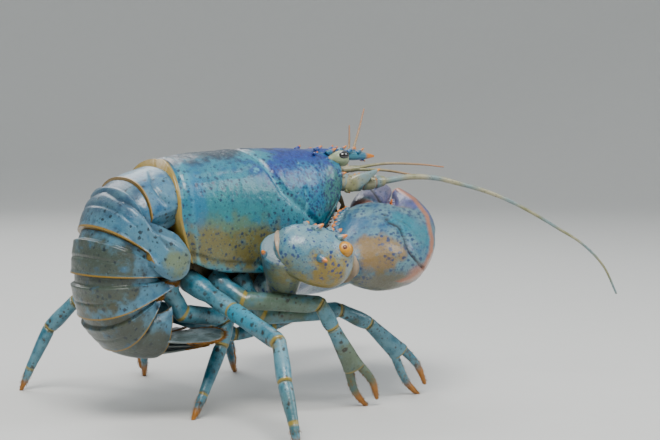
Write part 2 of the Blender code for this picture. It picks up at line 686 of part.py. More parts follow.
def walkingLeg(tag):
    joints = LEG_JOINTS[tag]
    outward = Vector(joints[2]) - Vector(joints[0])
    outward.z = 0
    hinge = outward.cross(Vector((0, 0, 1))).normalized()
    limb = Limb(joints, hinge)
    shapes = [
        [(0.0, 5.4, 5.6), (0.3, 5.5, 5.4), (0.5, 4.3, 4.3), (0.75, 4.5, 4.4), (1.0, 3.9, 3.9)],
        [(0.0, 3.9, 3.9), (0.1, 4.2, 4.4), (0.45, 3.6, 4.4), (0.85, 3.7, 4.4), (1.0, 3.2, 3.4)],
        [(0.0, 3.2, 3.4), (0.25, 3.4, 3.6), (0.7, 3.6, 4.0), (1.0, 3.1, 3.3)],
    ]
    if tag in CHELATE_LEGS:
        shapes.append([(0.0, 3.1, 3.3), (0.2, 3.3, 3.7), (0.6, 3.3, 4.5), (1.0, 3.1, 5.2)])
    else:
        shapes.append([(0.0, 3.0, 3.2), (0.2, 3.2, 3.5), (0.6, 2.8, 3.1), (1.0, 2.2, 2.4)])
        shapes.append([(0.0, 2.2, 2.4), (0.2, 2.2, 2.3), (0.6, 1.6, 1.7), (1.0, FOOT_RADIUS, FOOT_RADIUS)])
    slot = "leg_blue"
    ringLoft(f"leg_{tag}_merus", limb.part(0, 2, shapes), slot)
    ringLoft(f"leg_{tag}_carpus", limb.part(2, 3, shapes), slot)
    foot = None if tag in RAISED_LEGS else FLOOR_Z
    if tag not in CHELATE_LEGS:
        ringLoft(f"leg_{tag}_foot", limb.part(3, 5, shapes, footZ=foot), slot)
        return
    palm = ringLoft(f"leg_{tag}_foot", limb.part(3, 4, shapes, gapEnd=False), slot)
    end = Vector(joints[4])
    tip = Vector(joints[5])
    along = (end - Vector(joints[3])).normalized()
    across = (hinge - along * hinge.dot(along)).normalized()
    up = along.cross(across)
    fingers = []
    for sign, reach, spread in ((1, 1.0, 2.7), (-1, 0.93, 2.9)):
        start = end - along * 3.0 + up * (sign * spread * 0.85)
        target = tip + up * (sign * 1.6) + (Vector() if sign == 1 else up * -3.2)
        target = start.lerp(target, reach)
        middle = start.lerp(target, 0.55) + up * (sign * 2.2)
        points = smoothPath([start, middle, target], 6)
        radii = [2.3, 2.3, 2.1, 1.8, 1.4, FOOT_RADIUS]
        rings = []
        for k, p in enumerate(points):
            way = (points[min(k + 1, 5)] - points[max(k - 1, 0)]).normalized()
            sideways = (across - way * across.dot(way)).normalized()
            rings.append(ellipse(p, sideways, way.cross(sideways), radii[k], radii[k], 8))
        if sign == 1:
            way = (points[5] - points[4]).normalized()
            rings[-1] = ontoPlane(rings[-1], way, Vector((0, 0, FLOOR_Z)), Vector((0, 0, 1)))
        fingers.append(ringLoft("finger", rings, None))
    fuse(palm, fingers)


# Claws

CLAWS = {
    # Joints from the body to the claw's hinge, the claw's direction, its lateral side and its size.
    "r": {
        "joints": [(54, -12.6, -64), (54, -27, -66), (43, -46, -42), (73.5, -56.5, -53)],
        "axis": (87.5, 70.5, 31.0), "across": (0.63, -0.65, -0.42), "length": 116.5, "scale": 1.0,
    },
    "l": {
        "joints": [(54, 12.6, -64), (55, 27, -66), (69, 47, -53), (88, 55, -55)],
        "axis": (0.93, 0.31, -0.19), "across": (-0.27, 0.86, -0.43), "length": 118.0, "scale": 0.86,
    },
}
# Share of the length, centre's offset across, half width and half thickness of the palm and fixed finger.
PALM_SHAPE = [(-0.02, 0.5, 6.5, 6.0), (0.05, 2.5, 12.8, 11.2), (0.13, 6.0, 19.5, 14.8), (0.25, 7.8, 24.2, 16.4),
              (0.38, 8.4, 25.6, 16.6), (0.48, 9.8, 24.0, 15.8), (0.54, 13.2, 19.4, 14.6), (0.60, 16.2, 15.2, 13.2),
              (0.70, 17.0, 12.6, 11.2), (0.80, 14.4, 10.4, 9.2), (0.90, 8.8, 7.4, 6.6), (0.97, 3.6, 4.2, 3.8),
              (1.0, 0.8, 1.3, 1.2)]
DACTYL_SHAPE = [(0.545, -6.4, 6.2, 8.0), (0.58, -7.6, 8.2, 9.6), (0.66, -7.9, 8.6, 9.6), (0.76, -7.4, 7.8, 8.4),
                (0.86, -6.4, 6.4, 6.8), (0.93, -5.2, 4.6, 4.8), (0.985, -3.4, 1.2, 1.2)]


def clawFrame(spec):
    axis = Vector(spec["axis"]).normalized()
    across = Vector(spec["across"])
    across = (across - axis * across.dot(axis)).normalized()
    return Vector(spec["joints"][-1]) + axis * 1.0, axis, across, axis.cross(across)


def clawPoint(spec, share, offset, height=0.0):
    start, axis, across, up = clawFrame(spec)
    scale = spec["scale"]
    return start + axis * (spec["length"] * share) + across * (offset * scale) + up * (height * scale)


def clawLoft(name, spec, shape, sides):
    start, axis, across, up = clawFrame(spec)
    rings = []
    for share, offset, half, thick in shape:
        centre = clawPoint(spec, share, offset)
        rings.append(ellipse(centre, across, up, half * spec["scale"], thick * spec["scale"], sides, 0.9))
    return ringLoft(name, rings, "claw_blue")


def carpusRings(spec, up):
    """Rings of the rounded wrist block, square to its own length."""
    start, end = Vector(spec["joints"][2]), Vector(spec["joints"][3])
    along = (end - start).normalized()
    across = (Vector(up) - along * along.dot(Vector(up))).normalized()
    rings = []
    for share, wide in ((-0.16, 3.5), (-0.1, 8.2), (0.06, 11.8), (0.3, 13.8), (0.58, 14.2), (0.82, 12.4), (0.96, 8.4),
                        (1.03, 3.4)):
        half = wide * spec["scale"]
        rings.append(ellipse(start.lerp(end, share), across, along.cross(across), half, half * 0.96, 14, 0.94))
    return rings


def cheliped(tag):
    spec = CLAWS[tag]
    side = -1 if tag == "r" else 1
    scale = spec["scale"]
    joints = spec["joints"]
    upright = (0.3, side * -0.5, 0.8)
    limb = Limb(joints[:3], upright, sides=14)
    shapes = [
        [(0.0, 6.6, 6.8), (0.4, 7.2, 7.4), (1.0, 7.0, 7.0)],
        [(0.0, 7.0, 7.0), (0.25, 8.2, 8.6), (0.6, 9.8 * scale, 10.8 * scale), (0.9, 10.8 * scale, 11.8 * scale),
         (1.0, 9.6 * scale, 10.4 * scale)],
    ]
    rings = limb.part(0, 2, shapes)
    rings[0] = ontoPlane(rings[0], limb.direction(0), Vector((0, side * 12.6, 0)), Vector((0, 1, 0)))
    merus = ringLoft(f"claw_{tag}_merus", rings, "claw_blue")
    carpus = ringLoft(f"claw_{tag}_carpus", carpusRings(spec, upright), "claw_blue")
    palm = clawLoft(f"claw_{tag}_propodus", spec, PALM_SHAPE, 18)
    dactyl = clawLoft(f"claw_{tag}_dactyl", spec, DACTYL_SHAPE, 14)
    start, axis, across, up = clawFrame(spec)
    # A row of blunt tubercles on the mesial edge, and crushing teeth between the fingers.
    row = []
    for share, length in ((0.12, 2.6), (0.2, 3.2), (0.28, 3.6), (0.36, 3.4), (0.44, 2.8)):
        row.append(("spine", clawPoint(spec, share, 4.0), -across - up * 0.25, axis * 0.6, length, 2.1))
    teeth = ((0.645, 2.2, 2.8), (0.70, 2.8, 3.2), (0.755, 2.4, 2.9), (0.81, 1.9, 2.5), (0.86, 1.5, 2.0))
    for share, length, radius in teeth:
        row.append(("bump", clawPoint(spec, share, 14.0), -across, (0, 0, 0), length * scale, radius * scale))
    studs(palm, row)
    row = []
    for share, length, radius in ((0.66, 1.6, 2.6), (0.72, 1.8, 2.8), (0.785, 1.7, 2.4), (0.84, 1.4, 2.0)):
        row.append(("bump", clawPoint(spec, share, -6.0), across, (0, 0, 0), length * scale, radius * scale))
    studs(dactyl, row)
    carve(dactyl, [palm])
    # Spines of the wrist and of the arm's far end.
    begin, end = Vector(joints[2]), Vector(joints[3])
    along = (end - begin).normalized()
    top = (Vector(upright) - along * along.dot(Vector(upright))).normalized()
    out = along.cross(top)
    row = []
    for share, angle, length in ((0.36, 4, 4.6), (0.68, 22, 4.6), (0.3, 60, 4.4), (0.66, 66, 4.2), (0.42, 128, 4.0),
                                 (0.7, -28, 4.2), (0.5, -42, 3.6)):
        a = math.radians(angle) * -side
        row.append(("spine", begin.lerp(end, share), top * math.cos(a) + out * math.sin(a), along * 0.7,
                    length * scale, 2.0 * scale))
    studs(carpus, row)
    carve(palm, [carpus])
    ahead = limb.direction(1)
    outward = Vector((0.25, side * 0.9, 0.3))
    row = [("spine", Vector(joints[1]).lerp(begin, 0.8), outward, ahead * 0.6, 4.4 * scale, 1.9),
           ("spine", Vector(joints[1]).lerp(begin, 0.66), Vector((-0.9, side * 0.2, 0.3)), ahead * 0.6, 4.0 * scale, 1.8)]
    studs(merus, row)
    carve(merus, [carpus])


# Head

HEAD_FACE_X = 100.36


def eye(side, tag):
    rings = []
    start = Vector((96.6, side * 9.6, -2.5))
    axis = Vector((0.86, side * 0.44, 0.12)).normalized()
    across = axis.orthogonal().normalized()
    up = axis.cross(across)
    for along, radius in ((0, 2.0), (3, 2.3), (6, 2.6), (7.4, 3.1), (8.8, 3.3), (10.2, 3.1), (11.2, 2.2), (11.9, 0.9)):
        rings.append(ellipse(start + axis * along, across, up, radius, radius, 12))
    return ringLoft(f"eye_{tag}", rings, "eye_black")


def antennule(side, tag):
    base = [(100.4, side * 4.2, -8.6), (110, side * 5.0, -8.0), (120, side * 5.8, -7.4)]
    body = tube(f"antennule_{tag}", smoothPath(base, 5), [2.2, 2.3, 2.0, 1.9, 1.5], 8, "feeler", face=HEAD_FACE_X)
    if side < 0:
        ends = [[(119, -5.4, -7.0), (138, -7.5, -5.2), (158, -12, -6.0), (170, -17, -7.5)],
                [(119, -6.2, -8.0), (134, -10, -8.6), (148, -14, -11), (160, -18, -14)]]
    else:
        ends = [[(119, 5.4, -7.0), (126, 7.5, 1.0), (132, 9.5, 12), (137, 11, 24)],
                [(119, 6.2, -7.6), (124, 9.0, -2.0), (128, 12.5, 6.5), (130, 15, 15)]]
    pieces = []
    for route in ends:
        points = smoothPath(route, 9)
        pieces.append(tube("flagellum", points, [lerp(0.95, 0.4, k / 8) for k in range(9)], 5, None))
    fuse(body, pieces)


def antennaBase(side, tag):
    path = [(100.4, side * 12.6, -13.6), (108, side * 14.5, -14.6), (117, side * 17.2, -14.4), (126, side * 19.2, -13.8)]
    body = tube(f"antenna_base_{tag}", smoothPath(path, 9), [4.0, 4.5, 4.6, 4.4, 4.3, 4.0, 3.9, 3.4, 2.6], 10, "feeler",
                face=HEAD_FACE_X)
    rings = []
    for x, y, z, tall, thick in ((103, 16.4, -15.0, 3.4, 1.6), (106, 19.0, -14.6, 4.6, 1.5), (111, 21.2, -12.6, 4.4, 1.3),
                                 (116, 22.4, -10.0, 3.0, 1.1), (120.5, 23.0, -7.6, 0.6, 0.5)):
        rings.append(ellipse(Vector((x, side * y, z)), Vector((-0.2, side * 1.0, 0)).normalized(), Vector((0, 0, 1)),
                             thick, tall, 8))
    fuse(body, [ringLoft("scale", rings, None)])


ANTENNA_ROUTES = {
    "r": [(126.3, -19.3, -13.8), (141.9, -22, -12.0), (156.8, -25, -12.9), (168.3, -29, -15.7), (182, -34, -19.7),
          (195.6, -40, -25.3), (208.7, -46, -32.6), (220.9, -53, -40.9), (233.2, -60, -49.8), (243.5, -66, -62.0),
          (250, -70, -77.5)],
    "l": [(126.3, 19.3, -13.8), (133, 30, -10.5), (131, 46, -10), (119, 62, -13), (101, 76, -19), (80, 87, -26),
          (57, 96, -33), (35, 103, -39), (18, 108, -44)],
}


def antennaFlagellum(tag):
    points = smoothPath(ANTENNA_ROUTES[tag], 31)
    way = (points[1] - points[0]).normalized()
    points[0] = points[0] + way * 1.4
    radii = [lerp(1.75, 0.55, (k / 30) ** 0.8) for k in range(31)]
    tube(f"antenna_flagellum_{tag}", points, radii, 6, "feeler")


def maxilliped(side, tag):
    path = [(66, side * 6.2, -66.4), (78, side * 7.2, -62.5), (92, side * 8.0, -54), (102, side * 7.4, -43), (107.5, side * 6.2, -33),
            (110, side * 5.0, -26)]
    tube(f"maxilliped_{tag}", smoothPath(path, 11), [2.6, 3.4, 3.6, 3.6, 3.4, 3.2, 2.9, 2.8, 2.4, 1.8, 0.8], 8, "underside")


removeAll()
shell = carapace()
belly = carve(sternum(), [shell])
segments = [abdomenSegment(number) for number in range(6)]
carve(segments[1], [shell])
carve(segments[0], [shell, segments[1], segments[1]])
carve(segments[2], [segments[1]])
tailFan()
for legTag in LEG_JOINTS:
    walkingLeg(legTag)
for clawTag in CLAWS:
    cheliped(clawTag)
for sideSign, sideTag in ((-1, "r"), (1, "l")):
    carve(eye(sideSign, sideTag), [shell])
    antennule(sideSign, sideTag)
    antennaBase(sideSign, sideTag)
    antennaFlagellum(sideTag)
    maxilliped(sideSign, sideTag)
    for name in (f"claw_{sideTag}_merus", f"leg_5_{sideTag}_merus", f"leg_2_{sideTag}_merus"):
        carve(bpy.data.objects[name], [shell, belly])
    for number in (2, 3):
        carve(bpy.data.objects[f"leg_{number}_{sideTag}_merus"], [bpy.data.objects[f"claw_{sideTag}_merus"]])
    carve(bpy.data.objects[f"leg_5_{sideTag}_merus"], [bpy.data.objects[f"leg_5_{sideTag}_carpus"]])
    carve(bpy.data.objects[f"maxilliped_{sideTag}"], [belly])
    carve(bpy.data.objects[f"uropod_exopod_{sideTag}"], [segments[5]])
    carve(bpy.data.objects[f"antenna_base_{sideTag}"], [shell])

place = bpy.data.objects.new("lobster", None)
bpy.context.scene.collection.objects.link(place)
place.location = (PLACE_X * MM, PLACE_Y * MM, -FLOOR_Z * MM)
for part in list(bpy.context.scene.objects):
    if part.type == "MESH":
        part.parent = place
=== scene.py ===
import math

import bpy
import numpy as np
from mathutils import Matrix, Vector, noise
from mathutils.bvhtree import BVHTree


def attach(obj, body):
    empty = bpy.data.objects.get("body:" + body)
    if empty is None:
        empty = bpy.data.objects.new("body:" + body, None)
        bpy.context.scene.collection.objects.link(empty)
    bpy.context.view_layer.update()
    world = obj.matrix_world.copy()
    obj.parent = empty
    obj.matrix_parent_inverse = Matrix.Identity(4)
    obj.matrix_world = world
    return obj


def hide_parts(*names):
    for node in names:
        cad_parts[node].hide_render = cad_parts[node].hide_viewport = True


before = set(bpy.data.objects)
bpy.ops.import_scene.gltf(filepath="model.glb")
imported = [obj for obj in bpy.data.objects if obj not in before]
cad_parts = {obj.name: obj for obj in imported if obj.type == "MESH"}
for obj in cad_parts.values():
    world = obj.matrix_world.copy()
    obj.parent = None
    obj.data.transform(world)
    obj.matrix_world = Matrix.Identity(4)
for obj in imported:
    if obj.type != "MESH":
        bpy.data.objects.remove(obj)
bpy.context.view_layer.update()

# The maker's measure: millimetres, X forward, Y to the animal's left, origin at the carapace's back edge.
bench = {"mm": 0.001, "shiftX": -103.5, "shiftY": 2.0, "floorZ": -126.0, "jointGap": 0.36}

# The studio camera: a point on its axis in those millimetres, its distance and scale there, its directions.
photoView = {"onAxis": (78.3, -35.1, -31.4), "distance": 800, "zoom": 1600, "middle": (330, 220),
             "right": (0.7923, -0.6101, 0.0), "up": (0.0426, 0.0552, 0.9976),
             "look": (0.6087, 0.7903, -0.0698)}


def toRow(points):
    moved = np.asarray(points, dtype=float) + np.array([bench["shiftX"], bench["shiftY"], -bench["floorZ"]])
    return moved * bench["mm"]


def unit(vector):
    vector = np.asarray(vector, dtype=float)
    return vector / np.linalg.norm(vector)


def eased(knots, x):
    if x <= knots[0][0]:
        return knots[0][1]
    for (x0, v0), (x1, v1) in zip(knots, knots[1:]):
        if x <= x1:
            t = (x - x0) / (x1 - x0)
            return v0 + (v1 - v0) * (t * t * (3 - 2 * t) * 0.5 + t * 0.5)
    return knots[-1][1]


def flowing(rows, count):
    # rows of numbers made finer along a smooth curve
    rows = np.asarray(rows, dtype=float)
    ends = np.vstack([2 * rows[0] - rows[1], rows, 2 * rows[-1] - rows[-2]])
    out = []
    for u in np.linspace(0, len(rows) - 1, count):
        k = min(int(u), len(rows) - 2)
        t = u - k
        a, b, c, d = ends[k : k + 4]
        curve = 2 * b + (c - a) * t + (2 * a - 5 * b + 4 * c - d) * t * t + (3 * b - a - 3 * c + d) * t ** 3
        out.append(0.5 * curve)
    return np.array(out)


def flowingRadii(values, count):
    return flowing(np.array(values)[:, None], count)[:, 0]


def copies(vector, count):
    return np.repeat(np.asarray(vector)[None], count, 0)


def pinches(values, places, width):
    # near 1 at each of the places, 0 away from them
    return sum(np.exp(-(((values - at) / width) ** 2)) for at in places)


def seenFrom(points):
    # where the studio camera sees points given in millimetres, in pixels of the 660 by 440 picture
    away = np.asarray(points, dtype=float) - np.array(photoView["onAxis"])
    depth = photoView["distance"] + away @ np.array(photoView["look"])
    right = away @ np.array(photoView["right"])
    up = away @ np.array(photoView["up"])
    middleX, middleY = photoView["middle"]
    return middleX + photoView["zoom"] * right / depth, middleY - photoView["zoom"] * up / depth


def seenLine(points, line):
    px, py = seenFrom(points)
    return lineDistance(px, py, line)


def step(low, high, x):
    t = np.clip((np.asarray(x, dtype=float) - low) / (high - low), 0, 1)
    return t * t * (3 - 2 * t)


# Shader maths: sockets that add, subtract, multiply and step, and one maker for every node.

def addNode(tree, kind, settings, sockets):
    # settings come first, then a value or a link for each socket
    node = tree.nodes.new("ShaderNode" + kind)
    for name, value in settings.items():
        setattr(node, name, value)
    for key, value in sockets.items():
        if isinstance(value, Wire):
            tree.links.new(value.socket, node.inputs[key])
        else:
            node.inputs[key].default_value = value
    return node


class Wire:
    def __init__(self, tree, socket):
        self.tree = tree
        self.socket = socket

    def reckon(self, kind, first, second):
        node = addNode(self.tree, "Math", {"operation": kind}, {0: first, 1: second})
        return Wire(self.tree, node.outputs[0])

    def __add__(self, other):
        return self.reckon("ADD", self, other)

    def __radd__(self, other):
        return self.reckon("ADD", other, self)

    def __sub__(self, other):
        return self.reckon("SUBTRACT", self, other)

    def __rsub__(self, other):
        return self.reckon("SUBTRACT", other, self)

    def __mul__(self, other):
        return self.reckon("MULTIPLY", self, other)

    def __rmul__(self, other):
        return self.reckon("MULTIPLY", other, self)

    def between(self, low, high):
        # eased from 0 at low to 1 at high
        sockets = {"Value": self, "From Min": low, "From Max": high}
        node = addNode(self.tree, "MapRange", {"interpolation_type": "SMOOTHSTEP"}, sockets)
        return Wire(self.tree, node.outputs["Result"])


def pigment(tone, depth=0.46, strength=1.5):
    # deeper and fuller than the plain swatch, as the real shell is
    grey = sum(tone) / 3
    return tuple(min(1.0, max(0.0015, (grey + (part - grey) * strength) * depth)) for part in tone)


class Palette:
    # one material under construction

    def __init__(self, name):
        self.material = bpy.data.materials.new(name)
        self.material.use_nodes = True
        self.tree = self.material.node_tree
        self.shader = self.tree.nodes["Principled BSDF"]
        self.place = self.node("TexCoord", {}, {}, "Object")

    def node(self, kind, settings, sockets, output):
        return Wire(self.tree, addNode(self.tree, kind, settings, sockets).outputs[output])

    def noise(self, scale, detail=3.0, rough=0.55, stretch=None):
        sockets = {"Scale": scale, "Detail": detail, "Roughness": rough, "Vector": self.stretched(stretch)}
        return self.node("TexNoise", {}, sockets, "Fac")

    def cells(self, scale, stretch=None):
        return self.node("TexVoronoi", {}, {"Scale": scale, "Vector": self.stretched(stretch)}, "Distance")

    def stretched(self, stretch):
        if stretch is None:
            return self.place
        angle, factor = stretch
        sockets = {"Vector": self.place, "Rotation": (0, 0, math.radians(angle)), "Scale": (factor, 1, 1)}
        return self.node("Mapping", {"vector_type": "TEXTURE"}, sockets, "Vector")

    def near(self, centre, radii, ragged):
        # 1 inside an ellipsoid given in millimetres, 0 outside, with a ragged edge
        sockets = {"Vector": self.place, "Location": tuple(toRow(centre)),
                   "Scale": tuple(r * bench["mm"] for r in radii)}
        inside = self.node("Mapping", {"vector_type": "TEXTURE"}, sockets, "Vector")
        far = self.node("VectorMath", {"operation": "LENGTH"}, {0: inside}, "Value")
        return (far + (ragged - 0.5) * 3.2).between(1.25, 0.6)

    def trait(self, name):
        return self.node("Attribute", {"attribute_name": name}, {}, "Fac")

    def mix(self, share, first, second):
        # a colour mix has its factor at socket 0, its colours at 6 and 7, and its result at output 2
        tones = [tone if isinstance(tone, Wire) else (*pigment(tone), 1.0) for tone in (first, second)]
        settings = {"data_type": "RGBA", "clamp_factor": True}
        return self.node("Mix", settings, {0: share, 6: tones[0], 7: tones[1]}, 2)

    def finish(self, base, rough, relief, depth, coat=0.26):
        normal = self.node("Bump", {}, {"Strength": 0.6, "Distance": depth, "Height": relief}, "Normal")
        for key, wire in (("Base Color", base), ("Roughness", rough), ("Normal", normal)):
            self.tree.links.new(wire.socket, self.shader.inputs[key])
        self.shader.inputs["Coat Weight"].default_value = coat
        self.shader.inputs["Coat Roughness"].default_value = 0.14
        return self.material


def bothSides(centre, radii, tone, strength):
    x, y, z = centre
    return [((x, -y, z), radii, tone, strength), ((x, y, z), radii, tone, strength)]


# Each finish: deep and pale ground, dark flecks, patches of colour (centre, radii, tone, strength), and the
# colours of joint rims, pale parts and tips. Colours are linear.
finishes = {
    "carapaceShell": {
        "deep": (0.035, 0.17, 0.30), "pale": (0.13, 0.36, 0.43), "fleck": (0.015, 0.045, 0.10),
        "rim": (0.50, 0.36, 0.13), "light": (0.28, 0.62, 0.72), "tip": (0.72, 0.30, 0.08),
        "patches": [
            *bothSides((78, 10, 0), (34, 30, 17), (0.022, 0.085, 0.34), 0.85),
            # painted shadow: a near-black strip along the top of the shell
            ((20, 0, 2), (46, 16, 9), (0.015, 0.03, 0.045), 0.9),
            *bothSides((24, 25, -42), (34, 12, 14), (0.27, 0.22, 0.07), 0.85),
            ((30, -27, -22), (26, 10, 13), (0.10, 0.33, 0.30), 0.5),
            *bothSides((80, 22, -15), (20, 10, 12), (0.07, 0.28, 0.46), 0.8),
            *bothSides((92, 18, -18), (10, 9, 13), (0.13, 0.30, 0.24), 0.75),
            *bothSides((6, 26, -14), (5, 9, 18), (0.05, 0.26, 0.48), 0.5),
        ],
        "dense": bothSides((80, 20, -8), (30, 18, 26), (0.012, 0.03, 0.16), 0.85),
        "fleckScale": 330, "fleckSize": 0.34, "relief": 0.0006,
    },
    "abdomenShell": {
        "deep": (0.05, 0.16, 0.30), "pale": (0.20, 0.36, 0.46), "fleck": (0.02, 0.035, 0.05),
        "rim": (0.42, 0.27, 0.08), "light": (0.30, 0.42, 0.50), "tip": (0.62, 0.30, 0.10),
        "patches": [
            ((-28, 0, -20), (14, 22, 16), (0.09, 0.11, 0.10), 0.45),
            # olive-brown lower segments, darkened further with painted shadow
            ((-44, 0, -55), (24, 60, 24), (0.085, 0.09, 0.045), 0.85),
            ((-34, 0, -90), (36, 60, 26), (0.10, 0.10, 0.055), 0.85),
            *bothSides((-7, 27, -47), (9, 8, 9), (0.30, 0.34, 0.18), 0.75),
        ],
        "fleckScale": 230, "fleckSize": 0.26, "relief": 0.0005,
    },
    "clawShell": {
        "deep": (0.08, 0.20, 0.33), "pale": (0.28, 0.44, 0.47), "fleck": (0.02, 0.06, 0.16),
        "rim": (0.62, 0.30, 0.20), "light": (0.40, 0.38, 0.50), "tip": (0.86, 0.34, 0.05),
        "patches": [
            ((150, -2, -24), (34, 26, 24), (0.15, 0.14, 0.42), 0.75),
            ((90, -62, -46), (15, 13, 9), (0.40, 0.25, 0.08), 0.8),
            ((120, -50, -36), (14, 12, 12), (0.07, 0.36, 0.42), 0.6),
            ((128, -22, -38), (12, 12, 14), (0.44, 0.34, 0.10), 0.6),
            ((90, -60, -66), (34, 22, 10), (0.26, 0.20, 0.07), 0.7),
            ((128, 8, -22), (26, 20, 14), (0.32, 0.30, 0.36), 0.7),
            ((136, 62, -70), (60, 40, 26), (0.10, 0.14, 0.34), 0.5),
        ],
        "streak": (39, 2.6), "fleckScale": 420, "fleckSize": 0.42, "relief": 0.0009,
    },
    "wristShell": {
        "deep": (0.12, 0.30, 0.42), "pale": (0.34, 0.50, 0.54), "fleck": (0.02, 0.07, 0.22),
        "rim": (0.50, 0.38, 0.12), "light": (0.50, 0.60, 0.64), "tip": (0.84, 0.34, 0.06),
        "patches": [
            ((57, -64, -58), (15, 13, 15), (0.46, 0.34, 0.12), 0.95),
            ((44, -50, -54), (9, 9, 12), (0.40, 0.34, 0.10), 0.7),
            ((50, -36, -62), (16, 16, 12), (0.24, 0.22, 0.08), 0.7),
            ((76, 58, -66), (18, 14, 12), (0.34, 0.22, 0.05), 0.8),
        ],
        "fleckScale": 300, "fleckSize": 0.34, "relief": 0.0007,
    },
    "legShell": {
        "deep": (0.06, 0.20, 0.28), "pale": (0.26, 0.46, 0.54), "fleck": (0.05, 0.04, 0.03),
        "rim": (0.48, 0.38, 0.14), "light": (0.46, 0.52, 0.50), "tip": (0.42, 0.20, 0.06),
        "patches": [
            ((48, -38, -74), (30, 16, 12), (0.20, 0.24, 0.12), 0.7),
            ((12, -54, -72), (16, 15, 8), (0.20, 0.52, 0.68), 0.7),
            ((12, -83, -84), (6, 6, 5), (0.34, 0.24, 0.08), 0.85),
            ((4, -104, -110), (8, 8, 16), (0.14, 0.24, 0.24), 0.6),
            ((84, -46, -108), (30, 22, 26), (0.20, 0.21, 0.10), 0.75),
            ((20, -6, -62), (60, 12, 14), (0.17, 0.17, 0.11), 0.7),
        ],
        "fleckScale": 210, "fleckSize": 0.30, "relief": 0.0005,
    },
    "fanShell": {
        "deep": (0.10, 0.13, 0.13), "pale": (0.30, 0.36, 0.38), "fleck": (0.04, 0.05, 0.05),
        "rim": (0.50, 0.42, 0.26), "light": (0.50, 0.56, 0.60), "tip": (0.50, 0.28, 0.10), "patches": [],
        "fleckScale": 300, "fleckSize": 0.2, "relief": 0.0005,
    },
    "feelerShell": {
        "deep": (0.36, 0.36, 0.22), "pale": (0.66, 0.62, 0.46), "fleck": (0.08, 0.09, 0.10),
        "rim": (0.62, 0.32, 0.20), "light": (0.30, 0.44, 0.50), "tip": (0.75, 0.36, 0.14), "patches": [],
        "fleckScale": 500, "fleckSize": 0.2, "relief": 0.0003,
    },
    "mouthShell": {
        "deep": (0.10, 0.06, 0.035), "pale": (0.26, 0.21, 0.12), "fleck": (0.05, 0.03, 0.02),
        "rim": (0.40, 0.20, 0.08), "light": (0.26, 0.30, 0.26), "tip": (0.40, 0.18, 0.06), "patches": [],
        "fleckScale": 300, "fleckSize": 0.25, "relief": 0.0005,
    },
}

# How fine each layer of the shell's colour is, and its dark flecks in three sizes (scale, size, strength); the
# furrow colour is near-black painted shade and shadow.
shellGrain = {"broad": 38, "middle": 170, "fine": 900, "dense": 520, "pits": 4.2,
              "flecks": ((1.0, 1.0, 0.9), (1.75, 0.9, 0.7), (3.2, 0.7, 0.45)), "furrow": (0.02, 0.02, 0.03)}
made = {}
rng = np.random.default_rng(11)


def shellFinish(name):
    if name in made:
        return made[name]
    look = finishes[name]
    streak = look.get("streak")
    paint = Palette(name)
    broad = paint.noise(shellGrain["broad"], 4)
    middle = paint.noise(shellGrain["middle"], 4, stretch=streak)
    fine = paint.noise(shellGrain["fine"], 3)
    cloud = broad * 0.5 + middle * 0.5
    ragged = (fine - 0.5) * 0.5
    base = paint.mix(cloud.between(0.40, 0.60), look["deep"], look["pale"])
    for centre, radii, tone, strength in look["patches"]:
        base = paint.mix(paint.near(centre, radii, cloud) * strength, base, tone)
    base = paint.mix(paint.trait("light").between(0.15, 0.95) * 0.8, base, look["light"])
    base = paint.mix(middle.between(0.56, 0.70) * 0.4, base, look["deep"])
    for scale, share, strength in shellGrain["flecks"]:
        size = look["fleckSize"] * share
        spots = (paint.cells(look["fleckScale"] * scale, streak) + ragged).between(size, size * 0.5)
        base = paint.mix(spots * broad.between(0.34, 0.52) * strength, base, look["fleck"])
    for centre, radii, tone, strength in look.get("dense", ()):
        spots = (paint.cells(shellGrain["dense"]) + ragged).between(0.48, 0.26)
        base = paint.mix(spots * paint.near(centre, radii, cloud) * strength, base, tone)
    base = paint.mix(fine.between(0.58, 0.75) * 0.3, base, look["light"])
    base = paint.mix(paint.trait("mark").between(0.2, 0.9) * 0.9, base, look["rim"])
    # painted shade in the abdomen's furrows and painted shadow of the antenna and antennule on the claw
    base = paint.mix(paint.trait("dark").between(0.1, 0.9) * 0.9, base, shellGrain["furrow"])
    base = paint.mix(paint.trait("tip").between(0.25, 0.8), base, tuple(c * 1.35 for c in look["tip"]))
    rough = middle * 0.2 + fine * 0.16 + 0.16
    pits = paint.cells(look["fleckScale"] * shellGrain["pits"])
    relief = fine * 0.5 + middle * 0.6 + pits.between(0.0, 0.35) * 0.35
    made[name] = paint.finish(base, rough, relief, look["relief"])
    return made[name]


def plainFinish(name, tone, rough, coat=0.0, sheen=0.0):
    if name in made:
        return made[name]
    paint = Palette(name)
    grain = paint.noise(400, 4)
    base = paint.mix(grain.between(0.3, 0.7) * 0.5, tone, tuple(c * 0.55 for c in tone))
    made[name] = paint.finish(base, grain * 0.1 + rough, grain, 0.0002, coat)
    made[name].node_tree.nodes["Principled BSDF"].inputs["Sheen Weight"].default_value = sheen
    return made[name]


# Mesh makers

def settle(obj, finish, slotName, *nodes):
    obj.data.materials.clear()
    obj.data.materials.append(finish)
    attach(obj, "root")
    if nodes:
        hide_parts(*nodes)
    return obj


def meshPiece(name, points, faces, traits=None):
    mesh = bpy.data.meshes.new(name)
    mesh.from_pydata([tuple(p) for p in toRow(points)], [], [tuple(f) for f in faces])
    mesh.validate()
    for key in ("mark", "light", "tip", "dark"):
        layer = mesh.attributes.new(key, "FLOAT", "POINT")
        values = np.zeros(len(points))
        if traits and key in traits:
            values[: len(traits[key])] = traits[key]
        layer.data.foreach_set("value", values.astype(np.float32))
    obj = bpy.data.objects.new(name, mesh)
    bpy.context.scene.collection.objects.link(obj)
    faceOutwards(obj)
    mesh.shade_smooth()
    return obj


